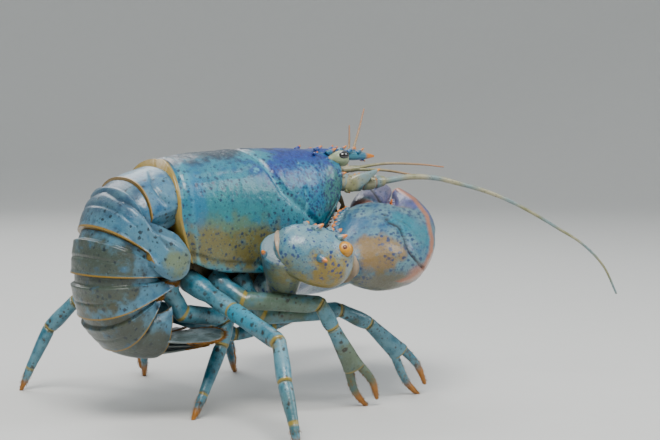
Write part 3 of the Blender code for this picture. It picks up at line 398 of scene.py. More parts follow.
def faceOutwards(obj):
    bpy.ops.object.select_all(action="DESELECT")
    bpy.context.view_layer.objects.active = obj
    obj.select_set(True)
    bpy.ops.object.mode_set(mode="EDIT")
    bpy.ops.mesh.select_all(action="SELECT")
    bpy.ops.mesh.normals_make_consistent(inside=False)
    bpy.ops.object.mode_set(mode="OBJECT")


def loftFaces(ringCount, sides, start=0):
    a = np.arange(ringCount - 1)[:, None] * sides + start
    i = np.arange(sides)[None, :]
    j = (i + 1) % sides
    return np.stack([a + i, a + j, a + sides + j, a + sides + i], -1).reshape(-1, 4).tolist()


def loft(name, rings, traits=None):
    # a closed skin over rings of equal count, each end closed by a fan
    rings = np.asarray(rings)
    count, sides = rings.shape[:2]
    points = rings.reshape(-1, 3)
    hubs = np.array([rings[0].mean(0), rings[-1].mean(0)])
    faces = loftFaces(count, sides)
    for hub, base in ((count * sides, 0), (count * sides + 1, (count - 1) * sides)):
        for i in range(sides):
            faces.append([base + i, base + (i + 1) % sides, hub])
    spread = {}
    for key, values in (traits or {}).items():
        values = np.asarray(values, dtype=float)
        if values.ndim == 1:
            values = np.repeat(values[:, None], sides, 1)
        flat = values.reshape(-1)
        spread[key] = np.concatenate([flat, [values[0].mean(), values[-1].mean()]])
    return meshPiece(name, np.vstack([points, hubs]), faces, spread)


def ovals(centres, across, up, halfAcross, halfUp, sides, power=1.0):
    a = np.linspace(0, 2 * np.pi, sides, endpoint=False)
    c = np.sign(np.cos(a)) * np.abs(np.cos(a)) ** power
    s = np.sign(np.sin(a)) * np.abs(np.sin(a)) ** power
    centres = np.asarray(centres)[:, None, :]
    wide = np.asarray(halfAcross)[:, None, None] * c[None, :, None] * np.asarray(across)[:, None, :]
    tall = np.asarray(halfUp)[:, None, None] * s[None, :, None] * np.asarray(up)[:, None, :]
    return centres + wide + tall


def frames(centres, hinge):
    # travel, across and up along a centre line, with across kept square to the hinge
    centres = np.asarray(centres)
    travel = np.gradient(centres, axis=0)
    travel /= np.linalg.norm(travel, axis=1)[:, None]
    hinge = np.asarray(hinge, dtype=float)
    across = hinge[None, :] - travel * (travel @ hinge)[:, None]
    across /= np.linalg.norm(across, axis=1)[:, None]
    return travel, across, np.cross(travel, across)


class Studs:
    # spines, tubercles, teeth and hairs gathered into one mesh, with their tips marked

    def __init__(self):
        self.points = []
        self.faces = []
        self.tips = []
        self.count = 0

    def horn(self, base, aim, length, radius, sides=10, blunt=0.12, sink=1.2, rings=7, hue=1.0):
        # a round spine whose root lies below its base by the sink
        aim = unit(aim)
        side = unit(np.cross(aim, (0.31, 0.52, 0.79)))
        shares = np.concatenate([[-sink / length], np.linspace(0, 1, rings)])
        count = len(shares)
        fall = np.clip(shares, 0, 1)
        widths = radius * (blunt + (1 - blunt) * (1 - fall) ** 0.85)
        widths[0] *= 1.15
        widths[-1] *= 0.45
        centres = np.asarray(base) + shares[:, None] * length * aim
        ring = ovals(centres, copies(side, count), copies(np.cross(aim, side), count), widths, widths, sides)
        self.faces += loftFaces(count, sides, self.count)
        last = self.count + (count - 1) * sides
        self.faces.append([last + i for i in range(sides)])
        self.faces.append([self.count + i for i in reversed(range(sides))])
        self.points.append(ring.reshape(-1, 3))
        self.tips += np.repeat(fall * hue, sides).tolist()
        self.count += count * sides

    def hair(self, base, aim, length, radius=0.12, sink=0.6):
        self.horn(base, aim, length, radius, sides=3, rings=3, sink=sink)

    def piece(self, name, finish, slotName):
        obj = meshPiece(name, np.vstack(self.points), self.faces, {"tip": self.tips})
        return settle(obj, finish, slotName)


def skinPoint(obj, target, outward):
    tree = BVHTree.FromPolygons([v.co for v in obj.data.vertices], [f.vertices for f in obj.data.polygons])
    outward = Vector(unit(outward))
    start = Vector(toRow(target)) + outward * 0.08
    found, normal, _, _ = tree.ray_cast(start, -outward, 0.16)
    if found is None:
        return None, None
    back = np.array([-bench["shiftX"], -bench["shiftY"], bench["floorZ"]])
    return np.array(found) / bench["mm"] + back, np.array(normal)


def roughened(obj, size, height):
    # small swellings and pits pushed into the skin itself
    mesh = obj.data
    places = np.array([v.co for v in mesh.vertices])
    normals = np.array([v.normal for v in mesh.vertices])
    spread = places / (size * bench["mm"])
    lifts = [noise.noise(Vector(p)) + 0.5 * noise.noise(Vector(p * 2.3)) for p in spread]
    places += normals * (np.array(lifts) * height * bench["mm"])[:, None]
    mesh.vertices.foreach_set("co", places.ravel())
    mesh.update()
    return obj


# Carapace

carapaceForm = {
    "top": [(-9, -1.5), (0, 0.0), (20, 2.6), (50, 4.2), (75, 4.0), (90, 3.0), (100, 1.2)],
    "width": [(-9, 25.2), (8, 26.8), (35, 27.5), (60, 27.0), (78, 24.6), (92, 20.4), (100, 17.4)],
    "low": [(-9, -46.0), (0, -50.0), (25, -55.5), (48, -57.0), (62, -54.5), (76, -47.0), (88, -36.5),
            (95, -29.5), (100, -22.5)],
    "widest": [(-9, -27.0), (50, -30.0), (76, -27.0), (100, -13.0)],
    "closeLift": 7.5,
    "grooves": [
        ([(46, 4), (48.5, -1), (52, -9), (56, -17), (63, -23), (69.5, -27), (81, -36.5)], 1.3, 1.7),
        ([(71, -17), (72, -22), (70, -27)], 0.8, 1.3),
        ([(3, -9), (18, -8.2), (34, -7.0), (47, -4)], 0.4, 1.4),
    ],
    "rostrum": [(84, 6.5, 2.2, -6.0), (92, 8.0, 3.6, -5.0), (98, 7.6, 3.9, -4.4), (104, 6.0, 3.5, -3.6),
                (112, 4.6, 2.8, -3.6), (120, 3.3, 1.9, -3.5), (128, 2.0, 0.9, -3.0), (135, 0.35, -0.8, -1.9)],
    "rostrumSpines": [(108.5, 5.2, 4.6, 1.5), (115.5, 4.2, 4.4, 1.4), (122.5, 3.0, 4.0, 1.2)],
    # spines beside the eyes and under the rostrum: place, way, length and radius
    "headSpines": [
        ((97.0, 9.5, 1.2), (0.85, 0.25, 0.5), 5.0, 1.7), ((90.0, 8.5, 3.0), (0.8, 0.2, 0.6), 3.4, 1.4),
        ((97.5, 16.6, -10.0), (0.93, 0.3, 0.25), 5.0, 1.8), ((126.0, 1.0, -2.6), (0.8, 0.1, -0.6), 2.6, 0.9),
        ((103.5, 6.2, 3.0), (0.8, 0.3, 0.7), 2.4, 1.0), ((86.0, 12.5, 1.2), (0.85, 0.3, 0.5), 1.8, 0.9),
        ((93.0, 13.8, -1.8), (0.85, 0.4, 0.5), 1.6, 0.8),
    ],
    # pale spots on the seen side: across and down the picture, and size, in pixels
    "paleSpots": [(256, 170, 2.6), (308.5, 179, 2.4), (328, 202, 1.2), (298, 163, 1.0)],
    "stations": 190, "frontStations": 26, "rostrumStations": 60, "rostrumSides": 32,
}


def lineDistance(x, z, line):
    best = np.full(np.shape(x), 1e9)
    for (x0, z0), (x1, z1) in zip(line, line[1:]):
        dx, dz = x1 - x0, z1 - z0
        t = np.clip(((x - x0) * dx + (z - z0) * dz) / (dx * dx + dz * dz), 0, 1)
        best = np.minimum(best, np.hypot(x - x0 - dx * t, z - z0 - dz * t))
    return best


def carapaceRing(x):
    top, wide, low, widest = (eased(carapaceForm[key], x) for key in ("top", "width", "low", "widest"))
    a = np.radians(np.linspace(0, 90, 45))
    d = np.linspace(0, 1, 29)[1:]
    y = np.concatenate([wide * np.sin(a) ** 0.92, wide * (1 - 0.13 * d ** 2.2)])
    dome = widest + (top - widest) * np.clip(np.cos(a), 0, 1) ** 0.84
    z = np.concatenate([dome, widest + (low - widest) * d])
    depth = np.zeros(len(y))
    light = np.zeros(len(y))
    for line, deep, broad in carapaceForm["grooves"]:
        far = lineDistance(x, z, line)
        depth += deep * np.exp(-((far / broad) ** 2))
        light += (0.75 if deep > 0.5 else 0.2) * np.exp(-((far / (broad * 1.1)) ** 2))
    above = z - low
    depth += 0.9 * np.exp(-(((above - 4.2) / 1.1) ** 2)) + 0.8 * np.exp(-(((x - 1.9) / 1.2) ** 2))
    depth += np.where(y < 2.0, 0.35, 0.0) * (x < 92)
    light += 0.5 * np.exp(-((above / 3.0) ** 2)) + 0.45 * np.exp(-(((x - 5.0) / 1.5) ** 2))
    mark = np.full(len(y), float(x < 0.4))
    fade = max(0.0, 1.0 - (x + 1.0) / 13.0)
    inward = np.stack([np.zeros(len(y)), -y, -28.0 - z], 1)
    inward /= np.linalg.norm(inward, axis=1)[:, None]
    shift = 4.0 * (1 - np.exp(-((y / 15.0) ** 2))) - 9.0 * np.maximum(0.0, (-26.0 - z) / 24.0) ** 1.3
    outer = np.stack([x - shift * fade, y, z], 1) + inward * depth[:, None]
    edge = outer[-1]
    closeZ = low + carapaceForm["closeLift"]
    inner = np.array([[edge[0], edge[1] - 2.2, low + 0.7], [edge[0], edge[1] - 4.6, closeZ - 1.6],
                      [(edge[0] + outer[0][0]) / 2, edge[1] * 0.45, closeZ]])
    flip = np.array([1, -1, 1])
    keel = [[outer[0][0], 0, closeZ + 0.6]]
    ring = np.vstack([outer[1:][::-1] * flip, outer, inner, keel, inner[::-1] * flip])
    within = np.zeros(2 * len(inner) + len(keel))
    both = lambda v: np.concatenate([v[1:][::-1], v, within])
    return ring, both(light), both(mark)


def orbitNotch(points):
    # the eye's socket, pushed back into the front of the shell
    for side in (-1, 1):
        wide = 3.4 + 1.6 * step(95.4, 100, points[..., 0])
        far = np.hypot(points[..., 1] - side * 10.2, (points[..., 2] + 1.4) / 0.92) / wide
        share = (1 - step(0.82, 1.08, far)) * (points[..., 0] > 95.2)
        points[..., 0] -= share * (points[..., 0] - 95.2)
    return points


def makeCarapace():
    rings, lights, marks = [], [], []
    for x in np.linspace(-1.0, 100.0, carapaceForm["stations"]):
        ring, light, mark = carapaceRing(x)
        rings.append(ring)
        lights.append(light)
        marks.append(mark)
    front = rings[-1]
    middle = np.array([100.0, 0, -11.0])
    for s in np.linspace(0, 1, carapaceForm["frontStations"])[1:-1]:
        ring = front * (1 - s) + middle * s
        ring[:, 0] -= 1.8 * step(0, 0.22, s)
        rings.append(ring)
        lights.append(np.zeros(len(ring)))
        marks.append(np.zeros(len(ring)))
    rings = orbitNotch(np.array(rings))
    lights = np.array(lights)
    across, down = seenFrom(rings)
    for px, py, reach in carapaceForm["paleSpots"]:
        far = ((across - px) / (reach * 1.3)) ** 2 + ((down - py) / reach) ** 2
        glow = np.exp(-(far ** 1.5)) * (rings[..., 1] < 0)
        lights = np.maximum(lights, glow * 1.3)
    shell = loft("shellCarapace", rings, {"light": lights, "mark": np.array(marks)})
    roughened(shell, 2.6, 0.14)
    rows = flowing(carapaceForm["rostrum"], carapaceForm["rostrumStations"])
    a = np.linspace(0, 2 * np.pi, carapaceForm["rostrumSides"], endpoint=False)
    beak = []
    for x, half, top, bottom in rows:
        y = half * np.sign(np.cos(a)) * np.abs(np.cos(a)) ** 0.8
        z = (top + bottom) / 2 + (top - bottom) / 2 * np.sign(np.sin(a)) * np.abs(np.sin(a)) ** 0.75
        z -= 0.7 * np.exp(-((y / (0.42 * half + 0.1)) ** 2)) * (np.sin(a) > 0) * step(0.5, 4, half)
        beak.append(np.stack([np.full(len(a), x), y, z], 1))
    tip = step(124, 133, rows[:, 0])
    rostrum = loft("shellRostrum", beak, {"tip": tip, "light": step(100, 122, rows[:, 0]) * 0.5})
    settle(roughened(rostrum, 2.2, 0.07), shellFinish("carapaceShell"), "shell_blue")
    settle(shell, shellFinish("carapaceShell"), "shell_blue", "carapace")
    spines = Studs()
    for side in (-1, 1):
        flip = np.array([1, side, 1])
        for x, y, length, width in carapaceForm["rostrumSpines"]:
            root = (x, side * (y - 0.8), 2.2 - (x - 108) * 0.09)
            spines.horn(root, (0.8, side * 0.35, 0.62), length, width)
        for place, aim, length, width in carapaceForm["headSpines"]:
            spines.horn(place * flip, aim * flip, length, width)
    spines.piece("shellSpines", shellFinish("carapaceShell"), "shell_blue")


sternumForm = {
    # place along the body, half width, top and bottom
    "knots": [(-11, 9, -44, -56), (-6, 10, -44.5, -61), (20, 9.6, -47.8, -63), (42, 9.4, -49.0, -64.5),
              (54, 10.2, -48.5, -70), (63, 9.8, -46.5, -68), (72, 9.8, -42.0, -60), (82, 9.6, -34.5, -52.5),
              (90, 9.0, -27.5, -46), (97, 8.0, -21.0, -38)],
    "stations": 90, "ridgeEvery": 14.2, "sides": 36,
}


def makeSternum():
    rows = flowing(sternumForm["knots"], sternumForm["stations"])
    x, half, top, bottom = rows.T
    ridge = 1 - 0.05 * np.cos(x * 2 * np.pi / sternumForm["ridgeEvery"])
    centres = np.stack([x, 0 * x, (top + bottom) / 2], 1)
    across, up = copies((0, 1, 0), len(rows)), copies((0, 0, 1), len(rows))
    rings = ovals(centres, across, up, half * ridge, (top - bottom) / 2 * ridge, sternumForm["sides"], 0.6)
    settle(loft("underBelly", rings), shellFinish("mouthShell"), "underside", "sternum")


# Abdomen and tail fan

tailForm = {
    "start": (-1.6, -2.6), "lengths": [20.8, 29.0, 23.0, 21.5, 20.0, 20.5],
    "headings": [196.5, 234.0, 258.0, 279.0, 308.0, 345.0],
    "bounds": [184, 186, 236, 268.5, 293.5, 326.5, 353.5],
    "halfWidths": [24.5, 26.5, 25.5, 24.5, 23.0, 21.0], "bodyDepths": [24.0, 25.5, 25.0, 23.5, 21.5, 19.5],
    "lobeDepths": [28.0, 46.0, 36.5, 41.0, 31.0, 27.0], "secondHeading": 209.0,
    "secondLobe": [(0.0, -15.5, 28.5), (0.2, -17.0, 36.0), (0.28, -15.5, 40.5), (0.46, -11.0, 46.0),
                   (0.66, -4.5, 46.5), (0.86, 1.5, 41.0), (1.0, 5.0, 32.0)],
    # how far the back stands out along each segment, and how far its lobes lean outwards
    "raised": {0: [(0, -2.2), (0.2, 0), (1, 0)], 5: [(0, -1.2), (0.2, 0.2), (1, 0.2)]},
    "raisedOthers": [(0, -1.5), (0.2, -1.5), (0.27, 0.5), (0.4, 0.1), (0.9, 0), (1, 0.5)],
    "lobeLean": {0: -3.6, 1: 2.6}, "lobeLeanOthers": -0.4,
    # furrows on the seen side, carved in and darkened with painted shade: lines in the picture, depth and width
    "furrows": {0: [([(150, 172), (153, 187), (166, 203)], 0.7, 2.2)],
                1: [([(104, 190), (118, 199), (134, 206), (146, 218), (153, 228), (170, 249)], 0.8, 2.4),
                    ([(151, 214), (160, 222), (170, 232)], 0.5, 1.8)]},
    "telson": (33.0, 362.0), "stations": 60, "archPoints": 33, "lobePoints": 20,
}


def segmentFrame(index, t):
    x, z = tailForm["start"]
    for length, heading in zip(tailForm["lengths"][:index], tailForm["headings"][:index]):
        x += length * math.cos(math.radians(heading))
        z += length * math.sin(math.radians(heading))
    chord = tailForm["lengths"][index]
    middle = math.radians(tailForm["headings"][index])
    h0, h1 = tailForm["bounds"][index : index + 2]
    heading = math.radians(h0 + (h1 - h0) * t)
    bulge = 4 * t * (1 - t) * chord * math.radians(h1 - h0) / 8
    outward = np.array([-math.cos(middle + math.pi / 2), 0, -math.sin(middle + math.pi / 2)])
    along = np.array([math.cos(middle), 0, math.sin(middle)])
    point = np.array([x, 0, z]) + chord * t * along + outward * bulge
    travel = np.array([math.cos(heading), 0, math.sin(heading)])
    inward = np.array([math.cos(heading + math.pi / 2), 0, math.sin(heading + math.pi / 2)])
    return point, travel, inward


def lobeTip(index, t, point, inward):
    deepest = tailForm["lobeDepths"][index]
    body = tailForm["bodyDepths"][index]
    if index == 0:
        rise = math.sin(math.pi * min(1, 0.15 + 0.8 * t)) ** 0.6
        return point + inward * (body * 0.9 + (deepest - body * 0.9) * rise)
    if index == 1:
        middle, _, _ = segmentFrame(index, 0.5)
        a = math.radians(tailForm["secondHeading"])
        rows = np.array(tailForm["secondLobe"])
        smooth = flowing(rows, 120)
        along, depth = np.interp(t, smooth[:, 0], smooth[:, 1]), np.interp(t, smooth[:, 0], smooth[:, 2])
        heading = np.array([math.cos(a), 0, math.sin(a)])
        return middle + heading * along + np.array([-heading[2], 0, heading[0]]) * depth
    if index == 5:
        return point + inward * (body + 3.0 + (deepest - body - 3.0) * t ** 1.5)
    rise = (0.25 + 0.75 * t) ** 1.1 * (1 - max(0.0, (t - 0.86) / 0.14) ** 2 * 0.18)
    return point + inward * (body + 2.0 + (deepest - body - 2.0) * rise)


def makeSegment(index, fringe):
    half, body = tailForm["halfWidths"][index], tailForm["bodyDepths"][index]
    following = tailForm["halfWidths"][min(index + 1, 5)]
    raisedKnots = tailForm["raised"].get(index, tailForm["raisedOthers"])
    arch = np.radians(np.linspace(0, 90, tailForm["archPoints"]))
    share = np.linspace(0, 1, tailForm["lobePoints"] + 1)[1:]
    lobeShare = np.concatenate([np.zeros(len(arch)), share])
    lean = tailForm["lobeLean"].get(index, tailForm["lobeLeanOthers"])
    flip = np.array([1, -1, 1])
    rings, marks, lights, shadeRows = [], [], [], []
    for t in np.linspace(0, 1, tailForm["stations"]):
        point, travel, inward = segmentFrame(index, t)
        point = point + travel * (bench["jointGap"] / 2 * (1 if t == 0 else (-1 if t == 1 else 0)))
        wide = half + (following - half) * 0.6 * t
        raised = eased(raisedKnots, t)
        side = wide + raised
        flat = np.clip(np.cos(arch), 0, 1)
        outerY = side * np.sin(arch) ** 0.9
        furrow = 0.55 * np.exp(-(((t - 0.62) / 0.035) ** 2)) if 0 < index < 5 else 0.0
        outerD = (body - 5.0) * (1 - flat ** 0.9) - raised * flat + furrow * flat
        innerY = (wide - 4.2) * np.degrees(arch) / 90
        innerD = body - 1.2 * flat
        tip = lobeTip(index, t, point, inward)
        root, rootIn = point + inward * (body - 5.0), point + inward * (body + 0.2)
        swell = 0.8 * np.sin(np.pi * share) * (1 if index else 0)
        lobeY = side + lean * np.minimum(1.0, share * 1.6) - 1.2 * share ** 2 + swell - 0.5 * share ** 8
        outer = np.vstack([point + inward * outerD[:, None], root + (tip - root) * share[:, None]])
        outer[:, 1] = np.concatenate([outerY, lobeY])
        thick = 3.6 + (1.6 - 3.6) * share
        lobeIn = rootIn + (tip - inward * 0.5 - rootIn) * share[:, None]
        inner = np.vstack([point + inward * innerD[:, None], lobeIn])
        inner[:, 1] = np.concatenate([innerY, lobeY - thick])
        dark = np.zeros(len(outer))
        # each furrow is carved in and darkened with painted shade
        for line, deep, width in tailForm["furrows"].get(index, ()):
            cut = np.exp(-((seenLine(outer * flip, line) / width) ** 2))
            dark = np.maximum(dark, cut * 0.45)
            outer = outer + inward * (cut * deep * (outer[:, 1] < side * 0.97))[:, None]
            outer[:, 1] -= cut * deep * (outer[:, 1] > side * 0.6)
        ring = np.vstack([outer[1:][::-1] * flip, outer, inner[1:][::-1], inner[:1], inner[1:] * flip])
        light = 0.6 * step(0.8, 1.0, lobeShare) + 0.4 * step(0.86, 0.93, t) * (lobeShare < 0.2)
        light += 0.5 * (index < 2) * np.exp(-(((t - 0.24) / 0.05) ** 2)) * (lobeShare < 0.9)
        mark = float(t > 0.965) * (lobeShare < 0.7)
        mark = np.maximum(mark, 0.75 * step(0.93, 1.0, lobeShare) * (index > 1))
        both = lambda v: np.concatenate([v[1:][::-1], v, 0.3 * v[1:][::-1], 0.3 * v])
        rings.append(ring)
        lights.append(both(light))
        marks.append(both(mark))
        shadeRows.append(both(dark))
        if 1 < index < 5 and t > 0.35:
            for sideSign in (-1, 1):
                for _ in range(3):
                    at = outer[-1] * (1, sideSign, 1) + rng.normal(0, 0.3, 3)
                    fringe.hair(at, inward + rng.normal(0, 0.25, 3), rng.uniform(1.4, 3.2), 0.13)
    traits = {"mark": np.array(marks), "light": np.array(lights), "dark": np.array(shadeRows)}
    obj = loft(f"shellSegment{index + 1}", rings, traits)
    obj.data.set_sharp_from_angle(angle=math.radians(60))
    settle(roughened(obj, 3.0, 0.09), shellFinish("abdomenShell"), "shell_blue", f"abdomen_{index + 1}")


bladeForm = {"shares": [0.0, 0.12, 0.35, 0.6, 0.8, 0.93, 1.0], "stations": 56, "sides": 64, "ribs": 21,
             "cut": 0.12, "tipHairs": 46}


def makeBlade(name, node, root, direction, across, length, widths, thick, plane, fringe):
    # a flat blade whose root is slid onto the plane of the last segment's end
    direction = unit(direction)
    across = np.asarray(across, dtype=float)
    across = unit(across - direction * (across @ direction))
    up = np.cross(direction, across)
    rows = flowing(np.stack([bladeForm["shares"], widths], 1), bladeForm["stations"])
    sides, cut = bladeForm["sides"], bladeForm["cut"]
    a = np.linspace(0, 2 * np.pi, sides, endpoint=False)
    c, s = np.cos(a), np.sin(a)
    waves = np.cos(c * bladeForm["ribs"])
    rings, lights, marks = [], [], []
    for t, half in rows:
        deep = thick + (thick * 0.45 - thick) * t
        ribs = 1 + 0.32 * np.exp(-((c / 0.16) ** 2)) + 0.10 * waves * step(0.1, 0.3, t)
        ring = np.asarray(root) + direction * (length * t)
        ring = ring + across * (half * c)[:, None] + up * (deep / 2 * s * ribs)[:, None]
        if t < cut:
            slide = ((plane[0] - ring) @ plane[1]) / (direction @ plane[1])
            ring = ring + direction * (slide * (1 - t / cut))[:, None]
        rings.append(ring)
        # painted highlight: blade edges and rib crests made paler
        lights.append(0.4 * np.abs(c) ** 6 + 0.3 * waves.clip(0, 1))
        marks.append(0.8 * float(step(0.9, 1.0, t)) + 0.4 * np.abs(c) ** 30)
        if t > 0.45:
            for i in (0, sides // 2):
                way = across * c[i] * (1.1 - t) + direction * (0.3 + t)
                for _ in range(5):
                    at = ring[i] + rng.normal(0, 0.35, 3) * (1, 1, 0.4)
                    fringe.hair(at, way + rng.normal(0, 0.15, 3), rng.uniform(1.5, 3.0))
    for out in np.linspace(-0.9, 0.9, bladeForm["tipHairs"]):
        at = rings[-1].mean(0) + across * (rows[-1][1] * out * 1.6) - direction * (abs(out) ** 3 * 1.8)
        way = direction + across * out * 0.6 + rng.normal(0, 0.12, 3)
        fringe.hair(at, way, rng.uniform(1.6, 2.8), sink=0.8)
    obj = loft(name, rings, {"light": np.array(lights), "mark": np.array(marks)})
    settle(obj, shellFinish("fanShell"), "shell_pale", node)


def makeTail():
    fringe = Studs()
    for index in range(6):
        makeSegment(index, fringe)
    point, travel, _ = segmentFrame(5, 1.0)
    length, heading = tailForm["telson"]
    heading = math.radians(heading)
    ahead = np.array([math.cos(heading), 0, math.sin(heading)])
    lift = np.array([-math.sin(heading), 0, math.cos(heading)])
    plane = (point + travel * (bench["jointGap"] / 2), travel)
    makeBlade("fanTelson", "telson", point + lift * 3.4, ahead, (0, 1, 0), length,
              [10.5, 12.0, 12.6, 12.0, 10.4, 7.6, 2.5], 4.6, plane, fringe)
    for side, tag in ((-1, "r"), (1, "l")):
        for kind, yaw, rise, root, widths in (
            ("endopod", 15, 7.7, 10.5, [3.2, 5.6, 8.0, 9.0, 8.4, 6.2, 2.2]),
            ("exopod", 34, 10.8, 13.0, [3.4, 6.2, 9.0, 10.4, 10.0, 7.2, 2.6]),
        ):
            a = math.radians(yaw)
            direction = ahead * math.cos(a) + np.array([0, side, 0]) * math.sin(a) + lift * 0.03
            across = np.array([0, 1, 0]) + lift * (-0.14 * side)
            start = point + lift * rise + np.array([0, side * root, 0])
            name, node = f"fan{kind.title()}{tag.upper()}", f"uropod_{kind}_{tag}"
            makeBlade(name, node, start, direction, across, 31.0, widths, 2.6, plane, fringe)
    fringe.piece("fanFringe", plainFinish("fringeHair", (0.42, 0.22, 0.08), 0.7), "underside")


# Limbs

class Limb:
    def __init__(self, joints, hinge, sides):
        self.joints = np.array(joints, dtype=float)
        self.hinge = unit(hinge)
        self.sides = sides

    def direction(self, k):
        return unit(self.joints[k + 1] - self.joints[k])

    def plane(self, k):
        last = len(self.joints) - 1
        return unit(self.direction(max(k - 1, 0)) + self.direction(min(k, last - 1)))

    def across(self, k):
        along = self.direction(k)
        return unit(self.hinge - along * (self.hinge @ along))

    def rings(self, first, last, shapes, gapEnd=True, footZ=None, fine=22):
        # rings from joint to joint, each cut to the planes that halve the bends
        found, marks = [], []
        for k in range(first, last):
            along, across = self.direction(k), self.across(k)
            up = np.cross(along, across)
            rows = flowing(shapes[k], fine)
            begin, end = self.joints[k], self.joints[k + 1]
            near = 1.4 / np.linalg.norm(end - begin)
            for share, wide, tall in rows[(1 if k > first else 0) :]:
                centre = begin + (end - begin) * share
                rim = 0.06 * math.exp(-(((share - 0.93) / 0.05) ** 2))
                flare = 1 + rim + 0.04 * math.exp(-(((share - 0.06) / 0.05) ** 2))
                ring = ovals([centre], [across], [up], [wide * flare], [tall * flare], self.sides)[0]
                off = ring - centre
                slides = []
                for number, gap in ((k, int(k == first)), (k + 1, -int(gapEnd and k == last - 1))):
                    normal = self.plane(number)
                    if footZ is not None and number == last:
                        slides.append((footZ - self.joints[number][2] - off[:, 2]) / along[2])
                    else:
                        slides.append(-(off @ normal) / (along @ normal) + gap * bench["jointGap"] / 2)
                slide = slides[0] * (1 - share) + slides[1] * share
                found.append(ring + along * slide[:, None])
                marks.append(float(share > 1 - near) + 0.5 * float(share < near * 0.7))
        return found, marks


legForm = {
    "joints": {
        "2_r": [(36.5, -13, -58.5), (46, -22, -78.5), (88, -31, -78),
                (105, -33, -86), (125, -34, -103), (140, -34, -126)],
        "3_r": [(22, -13, -58.5), (31, -28, -69), (64.5, -45, -72),
                (71, -47, -84), (84.5, -47, -105.5), (97, -44, -126)],
        "4_r": [(8, -13, -58.5), (14.8, -42, -71.5), (13, -82, -82),
                (6, -96, -98), (3.5, -106, -115), (1.6, -112, -126)],
        "5_r": [(-6, -13, -58), (3, -16, -74.5), (32.2, -12, -79.5),
                (27, -13.5, -93), (13, -18.5, -115), (5.5, -21, -126)],
        "2_l": [(36.5, 13.0, -58.5), (44, 32, -70), (72, 62, -70),
                (82, 72, -82), (94, 80, -105), (103, 86, -126)],
        "3_l": [(22, 13.0, -58.5), (26, 38, -68), (38, 76, -70),
                (43, 90, -82), (49, 100, -105), (54, 106, -126)],
        "4_l": [(8, 13.0, -58.5), (9, 40, -70), (-4, 78, -77),
                (-12, 92, -92), (-19, 101, -114), (-23, 104, -126)],
        "5_l": [(-6, 13, -58.0), (3, 16, -74), (36, 10, -86), (49, 6, -91), (70, 2, -88), (86, 0, -84)],
    },
    "chelate": ("2_r", "3_r", "2_l", "3_l"), "raised": ("5_l",), "sides": 26,
    "fingerRadii": [2.3, 2.3, 2.1, 1.8, 1.4, 0.9],
    "skinRadii": {2: 3.0, 3: 2.7, 4: 1.9}, "fingerStations": 30,
    # each segment: share of its length, half width and half height
    "shapes": [
        [(0.0, 5.4, 5.6), (0.3, 5.5, 5.4), (0.5, 4.3, 4.3), (0.75, 4.5, 4.4), (1.0, 3.9, 3.9)],
        [(0.0, 3.9, 3.9), (0.1, 4.2, 4.4), (0.45, 3.6, 4.4), (0.85, 3.7, 4.4), (1.0, 3.2, 3.4)],
        [(0.0, 3.2, 3.4), (0.25, 3.4, 3.6), (0.7, 3.6, 4.0), (1.0, 3.1, 3.3)],
    ],
    "pincerPalm": [(0.0, 3.1, 3.3), (0.2, 3.3, 3.7), (0.6, 3.3, 4.5), (1.0, 3.1, 5.2)],
    "plainEnd": [[(0.0, 3.0, 3.2), (0.2, 3.2, 3.5), (0.6, 2.8, 3.1), (1.0, 2.2, 2.4)],
                 [(0.0, 2.2, 2.4), (0.2, 2.2, 2.3), (0.6, 1.6, 1.7), (1.0, 0.9, 0.9)]],
}


